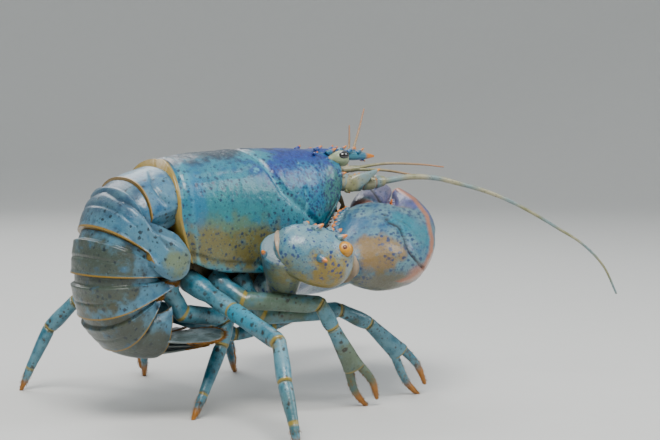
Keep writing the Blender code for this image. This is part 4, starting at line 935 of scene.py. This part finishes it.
def makeLeg(tag, skins, hairs):
    joints = np.array(legForm["joints"][tag], dtype=float)
    outward = (joints[2] - joints[0]) * (1, 1, 0)
    limb = Limb(joints, np.cross(outward, (0, 0, 1.0)), legForm["sides"])
    label = tag.replace("_", "").upper()
    finish = shellFinish("legShell")
    pincer = tag in legForm["chelate"]
    shapes = legForm["shapes"] + ([legForm["pincerPalm"]] if pincer else legForm["plainEnd"])
    foot = None if tag in legForm["raised"] else bench["floorZ"]
    parts = [("Arm", "merus", 0, 2, True), ("Wrist", "carpus", 2, 3, True),
             ("Foot", "foot", 3, 4 if pincer else 5, not pincer)]
    for word, node, first, last, gapEnd in parts:
        end = foot if word == "Foot" and not pincer else None
        rings, marks = limb.rings(first, last, shapes, gapEnd=gapEnd, footZ=end)
        tips = np.zeros(len(rings))
        if word == "Foot" and not pincer:
            tips = step(0.62, 1.0, np.linspace(0, 1, len(rings)))
        obj = loft(f"leg{label}{word}", rings, {"mark": marks, "tip": tips})
        settle(roughened(obj, 1.8, 0.06), finish, "leg_blue", f"leg_{tag}_{node}")
    for k in (2, 3) if pincer else (2, 3, 4):
        way = limb.plane(k)
        radius = legForm["skinRadii"][k]
        skins.horn(joints[k] - way * 1.2, way, 2.4, radius, blunt=0.9, sides=16, rings=4, sink=0.2)
    along, across = limb.direction(3 if pincer else 4), limb.across(3)
    up = np.cross(along, across)
    if pincer:
        end, tip = joints[4], joints[5]
        count = legForm["fingerStations"]
        for word, sign, reach, gape in (("Out", 1, 1.0, 2.7), ("In", -1, 0.93, 2.9)):
            start = end - along * 3.0 + up * (sign * gape * 0.85)
            target = tip + up * (sign * 1.6) + (0 if sign == 1 else up * -3.2)
            target = start + (target - start) * reach
            middle = start + (target - start) * 0.55 + up * (sign * 2.2)
            centres = flowing([start, middle, target], count)
            radii = flowingRadii(legForm["fingerRadii"], count)
            travel, wide, tall = frames(centres, across)
            rings = ovals(centres, wide, tall, radii, radii, 18)
            if sign == 1:
                slide = (bench["floorZ"] - rings[-1][:, 2]) / travel[-1][2]
                rings[-1] += travel[-1] * slide[:, None]
            rings[..., 2] = np.maximum(rings[..., 2], bench["floorZ"])
            obj = loft(f"leg{label}Finger{word}", rings, {"tip": step(0.2, 0.9, np.linspace(0, 1, count))})
            settle(obj, finish, "leg_blue")
            tuft(hairs, centres[4:-2], radii[4:-2], wide[4:-2], tall[4:-2], travel[4:-2], 130, 2.0)
    else:
        centres = joints[4] + (joints[5] - joints[4]) * np.linspace(0.05, 0.85, 24)[:, None]
        radii = np.linspace(2.1, 1.1, len(centres))
        lie = [copies(vector, len(centres)) for vector in (across, up, along)]
        tuft(hairs, centres, radii, *lie, 220 if tag[0] == "5" else 120, 2.6)


def tuft(hairs, centres, radii, across, up, along, count, length):
    for _ in range(count):
        k = int(rng.integers(0, len(centres)))
        a = rng.uniform(0, 2 * math.pi)
        out = across[k] * math.cos(a) + up[k] * math.sin(a)
        aim = out * 0.5 + along[k] * 1.0 + rng.normal(0, 0.1, 3)
        reach = length * rng.uniform(0.5, 1.1)
        base = centres[k] + out * radii[k] * 0.97
        if (base + unit(aim) * reach)[2] < bench["floorZ"]:
            continue
        hairs.hair(base, aim, reach, 0.11, 0.4)


# Claws

clawForm = {
    "r": {"joints": [(54, -12.6, -64), (54, -27, -66), (43, -46, -42), (73.5, -56.5, -53)],
          "axis": (87.5, 70.5, 31.0), "across": (0.63, -0.65, -0.42), "length": 116.5, "scale": 1.0},
    "l": {"joints": [(54, 12.6, -64), (55, 27, -66), (69, 47, -53), (88, 55, -55)],
          "axis": (0.93, 0.31, -0.19), "across": (-0.27, 0.86, -0.43), "length": 118.0, "scale": 0.86},
    # share of the length, offset across, half width and half thickness
    "palm": [(-0.02, 0.5, 6.5, 6.0), (0.05, 2.5, 12.8, 11.2), (0.13, 6.0, 19.5, 14.8),
             (0.25, 7.8, 24.2, 16.4), (0.38, 8.4, 25.6, 16.6), (0.48, 9.8, 24.0, 15.8), (0.54, 13.2, 19.4, 14.6),
             (0.60, 16.2, 15.2, 13.2), (0.70, 17.0, 12.6, 11.2), (0.80, 14.4, 10.4, 9.2),
             (0.90, 8.8, 7.4, 6.6), (0.97, 3.6, 4.2, 3.8), (1.0, 0.8, 1.3, 1.2)],
    "thumb": [(0.545, -6.4, 6.2, 8.0), (0.58, -7.6, 8.2, 9.6), (0.66, -7.9, 8.6, 9.6), (0.76, -7.4, 7.8, 8.4),
              (0.86, -6.4, 6.4, 6.8), (0.93, -5.2, 4.6, 4.8), (0.985, -3.4, 1.2, 1.2)],
    "wrist": [(-0.16, 3.5), (-0.1, 8.2), (0.06, 11.8), (0.3, 13.8), (0.58, 14.2), (0.82, 12.4), (0.96, 8.4),
              (1.03, 3.4)],
    # teeth and spines: share of the length, (angle,) height and radius
    "palmTeeth": ((0.645, 2.2, 2.8), (0.70, 2.8, 3.2), (0.755, 2.4, 2.9), (0.81, 1.9, 2.5), (0.86, 1.5, 2.0)),
    "thumbTeeth": ((0.66, 1.6, 2.6), (0.72, 1.8, 2.8), (0.785, 1.7, 2.4), (0.84, 1.4, 2.0)),
    "edgeSpines": ((0.07, 1.8), (0.12, 2.6), (0.16, 2.2), (0.2, 3.2), (0.24, 2.4), (0.28, 3.6), (0.32, 2.6),
                   (0.36, 3.4), (0.4, 2.4), (0.44, 2.8), (0.49, 1.8)),
    "upperSpines": ((0.17, 1.6), (0.26, 1.9), (0.34, 1.6), (0.42, 1.3)),
    "wristSpines": ((0.36, 4, 4.6), (0.68, 22, 4.6), (0.3, 60, 4.4), (0.66, 66, 4.2), (0.42, 128, 4.0),
                    (0.7, -28, 4.2), (0.5, -42, 3.6), (0.2, 30, 2.0), (0.55, 44, 1.8), (0.78, 90, 2.0)),
    "cups": (("Cup", 1.8, 3.6, (0.95, 0.50, 0.03)), ("CupHeart", 2.05, 1.5, (0.20, 0.07, 0.01))),
    # painted shadow of the antenna and antennule across the seen claw, also carved in as shallow furrows, and
    # the raised cord: lines in the picture, depth and width
    "furrows": {
        "palmR": [([(385, 214), (388, 221), (400, 226), (405, 238), (411, 253), (423, 268)], 1.5, 1.5),
                  ([(398, 219), (410, 226), (417, 236)], 0.5, 1.0)],
        "thumbR": [([(371, 188), (379, 198), (386, 214)], 1.2, 1.6)],
    },
    "cord": [(361, 284), (380, 287), (398, 282), (412, 276), (423, 268), (430, 252), (431, 240), (426, 216),
             (414, 200), (398, 190)],
}


def clawAxes(spec):
    axis = unit(spec["axis"])
    across = np.asarray(spec["across"], dtype=float)
    across = unit(across - axis * (across @ axis))
    return np.array(spec["joints"][-1]) + axis, axis, across, np.cross(axis, across)


def clawPoint(spec, share, offset, height=0.0):
    start, axis, across, up = clawAxes(spec)
    scale = spec["scale"]
    return start + axis * (spec["length"] * share) + across * (offset * scale) + up * (height * scale)


def towardsMiddle(rings):
    way = rings.mean(1, keepdims=True) - rings
    return way / np.linalg.norm(way, axis=2)[..., None]


def clawSkin(name, spec, shape, count, sides):
    _, _, across, up = clawAxes(spec)
    rows = flowing(shape, count)
    rows = rows[np.argsort(rows[:, 0])]
    rings = []
    a = np.linspace(0, 2 * np.pi, sides, endpoint=False)
    c = np.sign(np.cos(a)) * np.abs(np.cos(a)) ** 0.9
    s = np.sign(np.sin(a)) * np.abs(np.sin(a)) ** 0.9
    for share, offset, half, thick in rows:
        centre = clawPoint(spec, share, offset)
        dip = 1 - 0.05 * np.exp(-(((c - 0.35) / 0.10) ** 2)) * step(0.1, 0.3, share) * (share < 0.97)
        ridge = 1 + 0.035 * np.exp(-(((c - 0.93) / 0.06) ** 2)) * step(0.1, 0.3, share)
        rings.append(centre + across * (half * spec["scale"] * c * ridge)[:, None]
                     + up * (thick * spec["scale"] * s * dip)[:, None])
    tips = np.repeat(step(0.93, 1.0, rows[:, 0])[:, None], sides, 1)
    edge = np.exp(-(((c - 1.0) / 0.05) ** 2))[None] * step(0.1, 0.2, rows[:, 0])[:, None] * 0.75
    light = np.repeat(step(0.3, 0.62, rows[:, 0])[:, None] * 0.55, sides, 1) * (0.5 + 0.5 * s)[None]
    mark = edge
    if name.startswith("thumb"):
        mark = step(0.60, 0.55, rows[:, 0])[:, None] * np.ones(sides)[None] * 0.7
    rings = np.array(rings)
    # the dark lines here are painted shadow cast by the antenna and antennule, carved in as well
    dark = np.zeros(mark.shape)
    if name in clawForm["furrows"]:
        facing = (rings - rings.mean(1, keepdims=True)) @ np.array(photoView["look"]) < 0
        for line, deep, wide in clawForm["furrows"][name]:
            cut = np.exp(-((seenLine(rings, line) / wide) ** 2)) * facing
            dark = np.maximum(dark, cut * min(1.0, deep))
            rings += towardsMiddle(rings) * (cut * deep)[..., None]
        cord = np.exp(-((seenLine(rings, clawForm["cord"]) / 2.4) ** 2)) * facing * (name == "palmR")
        mark = np.maximum(mark, cord)
        rings -= towardsMiddle(rings) * (cord * 0.9)[..., None]
    return loft(name, rings, {"tip": tips, "mark": mark, "light": light, "dark": dark})


def makeClaw(tag):
    spec = clawForm[tag]
    side = -1 if tag == "r" else 1
    scale = spec["scale"]
    joints = np.array(spec["joints"], dtype=float)
    upright = (0.3, side * -0.5, 0.8)
    label = tag.upper()
    limb = Limb(joints[:3], upright, 40)
    shapes = [
        [(0.0, 6.6, 6.8), (0.4, 7.2, 7.4), (1.0, 7.0, 7.0)],
        [(0.0, 7.0, 7.0), (0.25, 8.2, 8.6), (0.6, 9.8 * scale, 10.8 * scale),
         (0.9, 10.8 * scale, 11.8 * scale), (1.0, 9.6 * scale, 10.4 * scale)],
    ]
    rings, marks = limb.rings(0, 2, shapes, fine=34)
    arm = roughened(loft(f"arm{label}", rings, {"light": marks}), 3.0, 0.14)
    settle(arm, shellFinish("wristShell"), "claw_blue", f"claw_{tag}_merus")
    begin, end = joints[2], joints[3]
    along = unit(end - begin)
    top = unit(np.array(upright) - along * (along @ np.array(upright)))
    out = np.cross(along, top)
    rows = flowing(clawForm["wrist"], 54)
    centres = begin + (end - begin) * rows[:, :1]
    half = rows[:, 1] * scale
    rings = ovals(centres, copies(top, len(rows)), copies(out, len(rows)), half, half * 0.96, 60, 0.94)
    traits = {"light": step(0.7, 0.95, rows[:, 0]) * 0.7, "mark": step(0.92, 1.0, rows[:, 0])}
    wrist = roughened(loft(f"wrist{label}", rings, traits), 3.2, 0.2)
    settle(wrist, shellFinish("wristShell"), "claw_blue", f"claw_{tag}_carpus")
    palm = clawSkin(f"palm{label}", spec, clawForm["palm"], 110, 84)
    settle(roughened(palm, 3.6, 0.16), shellFinish("clawShell"), "claw_blue", f"claw_{tag}_propodus")
    thumb = clawSkin(f"thumb{label}", spec, clawForm["thumb"], 64, 56)
    settle(roughened(thumb, 3.2, 0.13), shellFinish("clawShell"), "claw_blue", f"claw_{tag}_dactyl")
    _, axis, across, up = clawAxes(spec)
    # each job: skin, target, way out, lean, height, radius, bluntness and how far the tip's colour goes
    jobs = []
    for share, height in clawForm["edgeSpines"]:
        place = clawPoint(spec, share, 4.0)
        jobs.append((palm, place, -across - up * 0.25, axis * 0.6, height, 2.1, 0.35, 1.0))
    for share, height in clawForm["upperSpines"]:
        place = clawPoint(spec, share, 4.0)
        jobs.append((palm, place, -across + up * 0.45, axis * 0.5, height, 1.5, 0.4, 0.9))
    for share, height, radius in clawForm["palmTeeth"]:
        height, radius = height * scale, radius * scale
        jobs.append((palm, clawPoint(spec, share, 14.0), -across, (0, 0, 0), height, radius, 0.62, 0.8))
        between = clawPoint(spec, share + 0.026, 14.0)
        jobs.append((palm, between, -across, up * 0.2, height * 0.7, radius * 0.5, 0.55, 0.8))
    for share, height, radius in clawForm["thumbTeeth"]:
        place = clawPoint(spec, share, -6.0)
        jobs.append((thumb, place, across, (0, 0, 0), height * scale, radius * scale, 0.62, 0.8))
    for share, angle, height in clawForm["wristSpines"]:
        a = math.radians(angle) * -side
        place = begin + (end - begin) * share
        outward = top * math.cos(a) + out * math.sin(a)
        jobs.append((wrist, place, outward, along * 0.7, height * scale, 2.0 * scale, 0.14, 1.0))
    ahead = limb.direction(1)
    for share, outward, height, radius in ((0.8, (0.25, side * 0.9, 0.3), 4.4 * scale, 1.9),
                                           (0.66, (-0.9, side * 0.2, 0.3), 4.0 * scale, 1.8),
                                           (0.5, (0.3, side * 0.8, 0.5), 2.0, 1.2)):
        place = joints[1] + (begin - joints[1]) * share
        jobs.append((arm, place, outward, ahead * 0.6, height, radius, 0.14, 1.0))
    teeth = Studs()
    for skin, target, outward, lean, height, radius, blunt, hue in jobs:
        at, normal = skinPoint(skin, target, outward)
        if at is not None:
            aim = normal + np.asarray(lean)
            teeth.horn(at, aim, height, radius, sides=16, rings=9, sink=1.4, blunt=blunt, hue=hue)
    cup = np.array((64.1, -65.2, -42.6)) if tag == "r" else clawPoint(spec, 0.0, 9.0, 3.0)
    cupAim = (-0.5, -0.7, 0.4) if tag == "r" else across * 0.9 + up * 0.4
    cupBase = cup - unit(cupAim) * 0.6
    for word, height, radius, tone in clawForm["cups"]:
        knob = Studs()
        knob.horn(cupBase, cupAim, height * scale, radius * scale, sides=32, rings=9, sink=1.5, blunt=0.72)
        knob.piece(f"claw{word}{label}", plainFinish(f"amber{word}", tone, 0.35, 0.3), "claw_blue")
    teeth.piece(f"clawStuds{label}", shellFinish("clawShell"), "claw_blue")
    skins = Studs()
    for base, aim, length, radius in ((joints[3] - along * 2.5, unit(along + axis), 5.0, 7.4),
                                      (begin - ahead * 2.0, unit(ahead + along), 4.0, 8.6)):
        skins.horn(base, aim, length, radius * scale, blunt=0.85, sides=32, sink=0.5)
    skins.piece(f"clawSkins{label}", plainFinish("jointSkin", (0.66, 0.54, 0.42), 0.45, 0.2), "claw_blue")


# Head

headForm = {
    "antenna": {
        "r": [(126.3, -19.3, -13.8), (141.9, -22, -12.0), (156.8, -25, -12.9), (168.3, -29, -15.7),
              (182, -34, -19.7), (195.6, -40, -25.3), (208.7, -46, -32.6), (220.9, -53, -40.9),
              (233.2, -60, -49.8), (243.5, -66, -62.0), (250, -70, -77.5)],
        "l": [(126.3, 19.3, -13.8), (133, 30, -10.5), (131, 46, -10), (119, 62, -13), (101, 76, -19),
              (80, 87, -26), (57, 96, -33), (35, 103, -39), (18, 108, -44)],
    },
    # the outer and the inner whip of each antennule
    "whips": {
        "r": [[(119, -5.4, -7.0), (138, -7.5, -5.2), (158, -12, -6.0), (170, -17, -7.5)],
              [(119, -6.2, -8.0), (134, -10, -8.6), (148, -14, -11), (160, -18, -14)]],
        "l": [[(119, 5.4, -7.0), (126, 7.5, 1.0), (132, 9.5, 12), (137, 11, 24)],
              [(119, 6.2, -7.6), (124, 9.0, -2.0), (128, 12.5, 6.5), (130, 15, 15)]],
    },
    "stalk": [(0, 2.3), (2, 2.9), (4, 3.7), (6, 4.2), (8, 4.1), (9.6, 3.3), (10.6, 2.0), (11.0, 0.6)],
    "lens": {"along": 6.4, "ahead": 0.6, "out": 1.9, "up": 1.3, "deep": 2.9, "wide": 3.5, "tall": 2.7},
    "antennaRadii": [4.0, 4.5, 4.6, 4.4, 4.3, 4.0, 3.9, 3.4, 2.6],
    # the scale beside each antenna: place, half height and half thickness
    "scale": [(102, 15.4, -15.0, 2.0, 1.2), (103, 16.4, -15.0, 3.2, 1.5), (106, 19.0, -14.6, 4.2, 1.4),
              (111, 21.2, -12.4, 3.4, 1.1), (116, 22.4, -9.6, 1.8, 0.8), (120.5, 23.0, -7.2, 0.3, 0.3)],
    "knobs": [
        ((106, 18.4, -11.0), (0.7, 0.3, 0.8), 2.2, 1.0), ((110, 17.5, -10.6), (0.6, 0.2, 0.9), 1.8, 1.1),
        ((118, 19.6, -11.0), (0.6, 0.3, 0.8), 1.8, 1.1), ((116, 22.6, -12.5), (0.9, 0.3, -0.1), 2.6, 0.9),
        ((104, 16.5, -18.5), (0.7, 0.5, -0.6), 1.8, 1.2), ((112, 5.4, -6.2), (0.8, 0.0, 0.6), 1.6, 0.6),
    ],
    "mouthLeg": [(66, 6.2, -66.4), (78, 7.2, -62.5), (92, 8.0, -54), (102, 7.4, -43), (107.5, 6.2, -33),
                 (110, 5.0, -26)],
    "mouthLegRadii": [2.6, 3.4, 3.6, 3.6, 3.4, 3.2, 2.9, 2.8, 2.4, 1.8, 0.8],
    # short plates between the eyes and the mouth: side and height of each root and end
    "mouthPlates": ((5.5, -18, 7.0, -24), (9.0, -20, 10.5, -27), (3.0, -22, 4.0, -30)),
    "antennaStations": 620, "whipStations": 200, "mouthHairs": 620,
}


def ringedTube(name, centres, radii, sides, turns, depth, traits=None):
    travel, across, up = frames(centres, (0.2, 0.3, 1.0))
    beat = 1 + depth * np.cos(np.linspace(0, 2 * np.pi * turns, len(centres)))
    return loft(name, ovals(centres, across, up, radii * beat, radii * beat, sides), traits)


def makeEye(side, tag):
    label = tag.upper()
    start = np.array((96.6, side * 9.6, -2.5))
    axis = unit((0.86, side * 0.44, 0.12))
    across = unit(np.cross(axis, (0, 0, 1)))
    up = np.cross(across, axis)
    rows = flowing(headForm["stalk"], 40)
    rings = ovals(start + rows[:, :1] * axis, copies(across, 40), copies(up, 40), rows[:, 1], rows[:, 1], 36)
    stalk = loft(f"eyeStalk{label}", rings)
    settle(stalk, plainFinish("stalkSkin", (0.52, 0.60, 0.42), 0.35, 0.3), "eye_black")
    lens = headForm["lens"]
    middle = start + axis * lens["along"] + np.array([lens["ahead"], side * lens["out"], lens["up"]])
    gaze = unit((0.25, side * 0.78, 0.58))
    wide = unit(np.cross(gaze, (0, 0, 1)))
    tall = np.cross(wide, gaze)
    b = np.linspace(-0.48 * np.pi, 0.5 * np.pi, 30)[:-1]
    centres = middle + (lens["deep"] * np.sin(b))[:, None] * gaze
    halfWide, halfTall = lens["wide"] * np.cos(b), lens["tall"] * np.cos(b)
    rings = ovals(centres, copies(wide, len(b)), copies(tall, len(b)), halfWide, halfTall, 48)
    settle(loft(f"eyeLens{label}", rings), eyeFinish(), "eye_black", f"eye_{tag}")


def makeFeelers(side, tag):
    label = tag.upper()
    feeler = shellFinish("feelerShell")
    base = flowing([(100.4, side * 4.2, -8.6), (110, side * 5.0, -8.0), (120, side * 5.8, -7.4)], 60)
    radii = flowingRadii([2.2, 2.3, 2.0, 1.9, 1.5], 60) * (1 - 0.16 * pinches(base[:, 0], (108, 114), 0.5))
    settle(ringedTube(f"antennuleBase{label}", base, radii, 22, 0, 0), feeler, "feeler", f"antennule_{tag}")
    count = headForm["whipStations"]
    for word, route in zip(("Outer", "Inner"), headForm["whips"][tag]):
        thin = np.linspace(0.95, 0.36, count)
        traits = {"mark": np.linspace(0.2, 0.85, count)}
        whip = ringedTube(f"antennule{word}{label}", flowing(route, count), thin, 9, 48, 0.09, traits)
        settle(whip, feeler, "feeler")
    path = flowing([(100.4, side * 12.6, -13.6), (108, side * 14.5, -14.6), (117, side * 17.2, -14.4),
                    (126, side * 19.2, -13.8)], 90)
    pinch = pinches(path[:, 0], (105.5, 113.5, 120.5), 0.6)
    radii = flowingRadii(headForm["antennaRadii"], 90) * (1 - 0.17 * pinch)
    traits = {"mark": pinch * 0.7, "light": 0.8 * np.sin(np.linspace(0, 9.4, 90)) ** 2}
    stem = ringedTube(f"antennaBase{label}", path, radii, 30, 0, 0, traits)
    settle(roughened(stem, 2.4, 0.1), feeler, "feeler", f"antenna_base_{tag}")
    rows = flowing(headForm["scale"], 40)
    wide, tall = copies(unit((-0.2, side, 0)), 40), copies((0, 0, 1.0), 40)
    rings = ovals(rows[:, :3] * (1, side, 1), wide, tall, rows[:, 4], rows[:, 3], 28)
    traits = {"tip": step(117, 120, rows[:, 0]), "light": step(104, 112, rows[:, 0])}
    settle(loft(f"antennaScale{label}", rings, traits), feeler, "feeler")
    knobs = Studs()
    flip = np.array([1, side, 1])
    for place, aim, length, radius in headForm["knobs"]:
        knobs.horn(place * flip, aim * flip, length, radius)
    knobs.piece(f"antennaKnobs{label}", feeler, "feeler")
    count = headForm["antennaStations"]
    centres = flowing(headForm["antenna"][tag], count)
    centres += unit(centres[1] - centres[0]) * 0.2
    along = np.linspace(0, 1, count)
    radii = 1.75 + (0.55 - 1.75) * along ** 0.8
    traits = {"light": 0.4 + 0.4 * np.sin(np.linspace(0, 40, count)), "mark": 0.25 * along}
    whip = ringedTube(f"antennaWhip{label}", centres, radii, 12, 155, 0.055, traits)
    settle(whip, feeler, "feeler", f"antenna_flagellum_{tag}")


def makeMouth(side, tag, hairs):
    label = tag.upper()
    path = flowing(np.array(headForm["mouthLeg"]) * (1, side, 1), 90)
    radii = flowingRadii(headForm["mouthLegRadii"], 90)
    pinch = pinches(np.linspace(0, 1, 90), (0.3, 0.55, 0.76), 0.018)
    limb = ringedTube(f"mouthLeg{label}", path, radii * (1 - 0.18 * pinch), 26, 0, 0, {"mark": pinch})
    settle(roughened(limb, 2.0, 0.1), shellFinish("mouthShell"), "underside", f"maxilliped_{tag}")
    travel = frames(path, (0.2, 0.3, 1.0))[0]
    for _ in range(headForm["mouthHairs"]):
        k = int(rng.integers(12, 88))
        out = unit(np.array([0.4, -side * rng.uniform(0.2, 1.0), rng.uniform(-0.7, 0.4)]))
        out = unit(out - travel[k] * (out @ travel[k]))
        way = out + travel[k] * 0.6 + rng.normal(0, 0.15, 3)
        hairs.hair(path[k] + out * radii[k] * 0.95, way, rng.uniform(1.8, 3.6), sink=0.4)
    radii = np.interp(np.linspace(0, 1, 30), (0, 0.4, 1), (2.6, 2.2, 0.6))
    for number, (y0, z0, y1, z1) in enumerate(headForm["mouthPlates"]):
        middle = (103, side * (y0 + y1) / 2, z0 - 1.5)
        centres = flowing([(97.5, side * y0, z0), middle, (106.5, side * y1, z1)], 30)
        plate = ringedTube(f"mouthPlate{number}{label}", centres, radii, 18, 0, 0)
        settle(plate, shellFinish("mouthShell"), "underside")


def eyeFinish():
    if "eyeLens" in made:
        return made["eyeLens"]
    paint = Palette("eyeLens")
    facets = paint.cells(5200)
    base = paint.mix(paint.noise(300), (0.004, 0.004, 0.006), (0.018, 0.015, 0.014))
    made["eyeLens"] = paint.finish(base, facets * 0.1 + 0.06, facets, 0.00002, 0.9)
    return made["eyeLens"]


makeCarapace()
makeSternum()
print("shell and belly made")
makeTail()
print("abdomen and tail fan made")
jointSkins, setae = Studs(), Studs()
for legTag in legForm["joints"]:
    makeLeg(legTag, jointSkins, setae)
print("legs made")
for clawTag in ("r", "l"):
    makeClaw(clawTag)
print("claws made")
for sideSign, sideTag in ((-1, "r"), (1, "l")):
    makeEye(sideSign, sideTag)
    makeFeelers(sideSign, sideTag)
    makeMouth(sideSign, sideTag, setae)
jointSkins.piece("legSkins", plainFinish("legSkin", (0.48, 0.36, 0.14), 0.5, 0.2), "leg_blue")
setae.piece("legHairs", plainFinish("fringeHair", (0.42, 0.22, 0.08), 0.7), "underside")
print("head made")

# Floor, light and camera

studio = {
    "camera": (-0.5122, -0.6653, 0.1504), "lens": 87.27, "sensor": 36, "aim": (0, 0, 0.06),
    "paper": (0.60, 0.60, 0.585), "lift": (1.95, 1.9), "sky": (0.80, 0.86, 0.92), "skyStrength": 0.9,
    # lamps: place, size, power and colour
    "lamps": [((-0.45, -0.55, 1.1), 0.6, 21.0, (1.0, 0.98, 0.95)),
              ((0.8, -0.7, 0.8), 0.6, 8.0, (0.90, 0.95, 1.0)), ((0.1, 1.0, 1.0), 0.9, 10.0, (1.0, 1.0, 1.0))],
    # the bowl: radii of its flat floor, radius of the curve up to its wall, and the wall's height
    "flat": (0.3, 0.9, 1.6), "curve": 1.2, "wall": 2.6, "sides": 96,
}
bpy.ops.object.select_all(action="DESELECT")
flatEdge, curve, turnCount = studio["flat"][-1], studio["curve"], studio["sides"]
profile = [(radius, 0.0) for radius in studio["flat"]]
for a in np.radians(np.linspace(6, 90, 22)):
    profile.append((flatEdge + curve * math.sin(a), curve - curve * math.cos(a)))
profile.append((flatEdge + curve, studio["wall"]))
turns = np.linspace(0, 2 * np.pi, turnCount, endpoint=False)
sweep = np.array([[(r * math.cos(a), r * math.sin(a), z) for a in turns] for r, z in profile])
floorMesh = bpy.data.meshes.new("studioFloor")
floorPoints = [tuple(p) for p in sweep.reshape(-1, 3)]
floorFaces = [face[::-1] for face in loftFaces(len(sweep), turnCount)] + [list(range(turnCount))]
floorMesh.from_pydata(floorPoints, [], floorFaces)
floorMesh.shade_smooth()
floor = bpy.data.objects.new("studioFloor", floorMesh)
bpy.context.scene.collection.objects.link(floor)
paper = Palette("floorPaper")
paperGrain = paper.noise(60, 4)
paperTones = [tuple(c * lift for c in studio["paper"]) for lift in studio["lift"]]
paperBase = paper.mix(paperGrain, *paperTones)
floor.data.materials.append(paper.finish(paperBase, paperGrain * 0.1 + 0.7, paperGrain, 0.0001, 0.0))
for place, size, power, tint in studio["lamps"]:
    bpy.ops.object.light_add(type="AREA", location=place)
    lamp = bpy.context.object
    lamp.data.size = size
    lamp.data.energy = power
    lamp.data.color = tint
    lamp.rotation_euler = (Vector(studio["aim"]) - Vector(place)).to_track_quat("-Z", "Y").to_euler()
world = bpy.data.worlds.new("studioSky")
world.use_nodes = True
world.node_tree.nodes["Background"].inputs[0].default_value = (*studio["sky"], 1)
world.node_tree.nodes["Background"].inputs[1].default_value = studio["skyStrength"]
bpy.context.scene.world = world
bpy.ops.object.camera_add(location=studio["camera"])
camera = bpy.context.object
camera.data.lens = studio["lens"]
camera.data.sensor_width = studio["sensor"]
camera.rotation_euler = Vector(photoView["look"]).to_track_quat("-Z", "Y").to_euler()
bpy.context.scene.camera = camera
print("studio made")

bpy.context.view_layer.update()
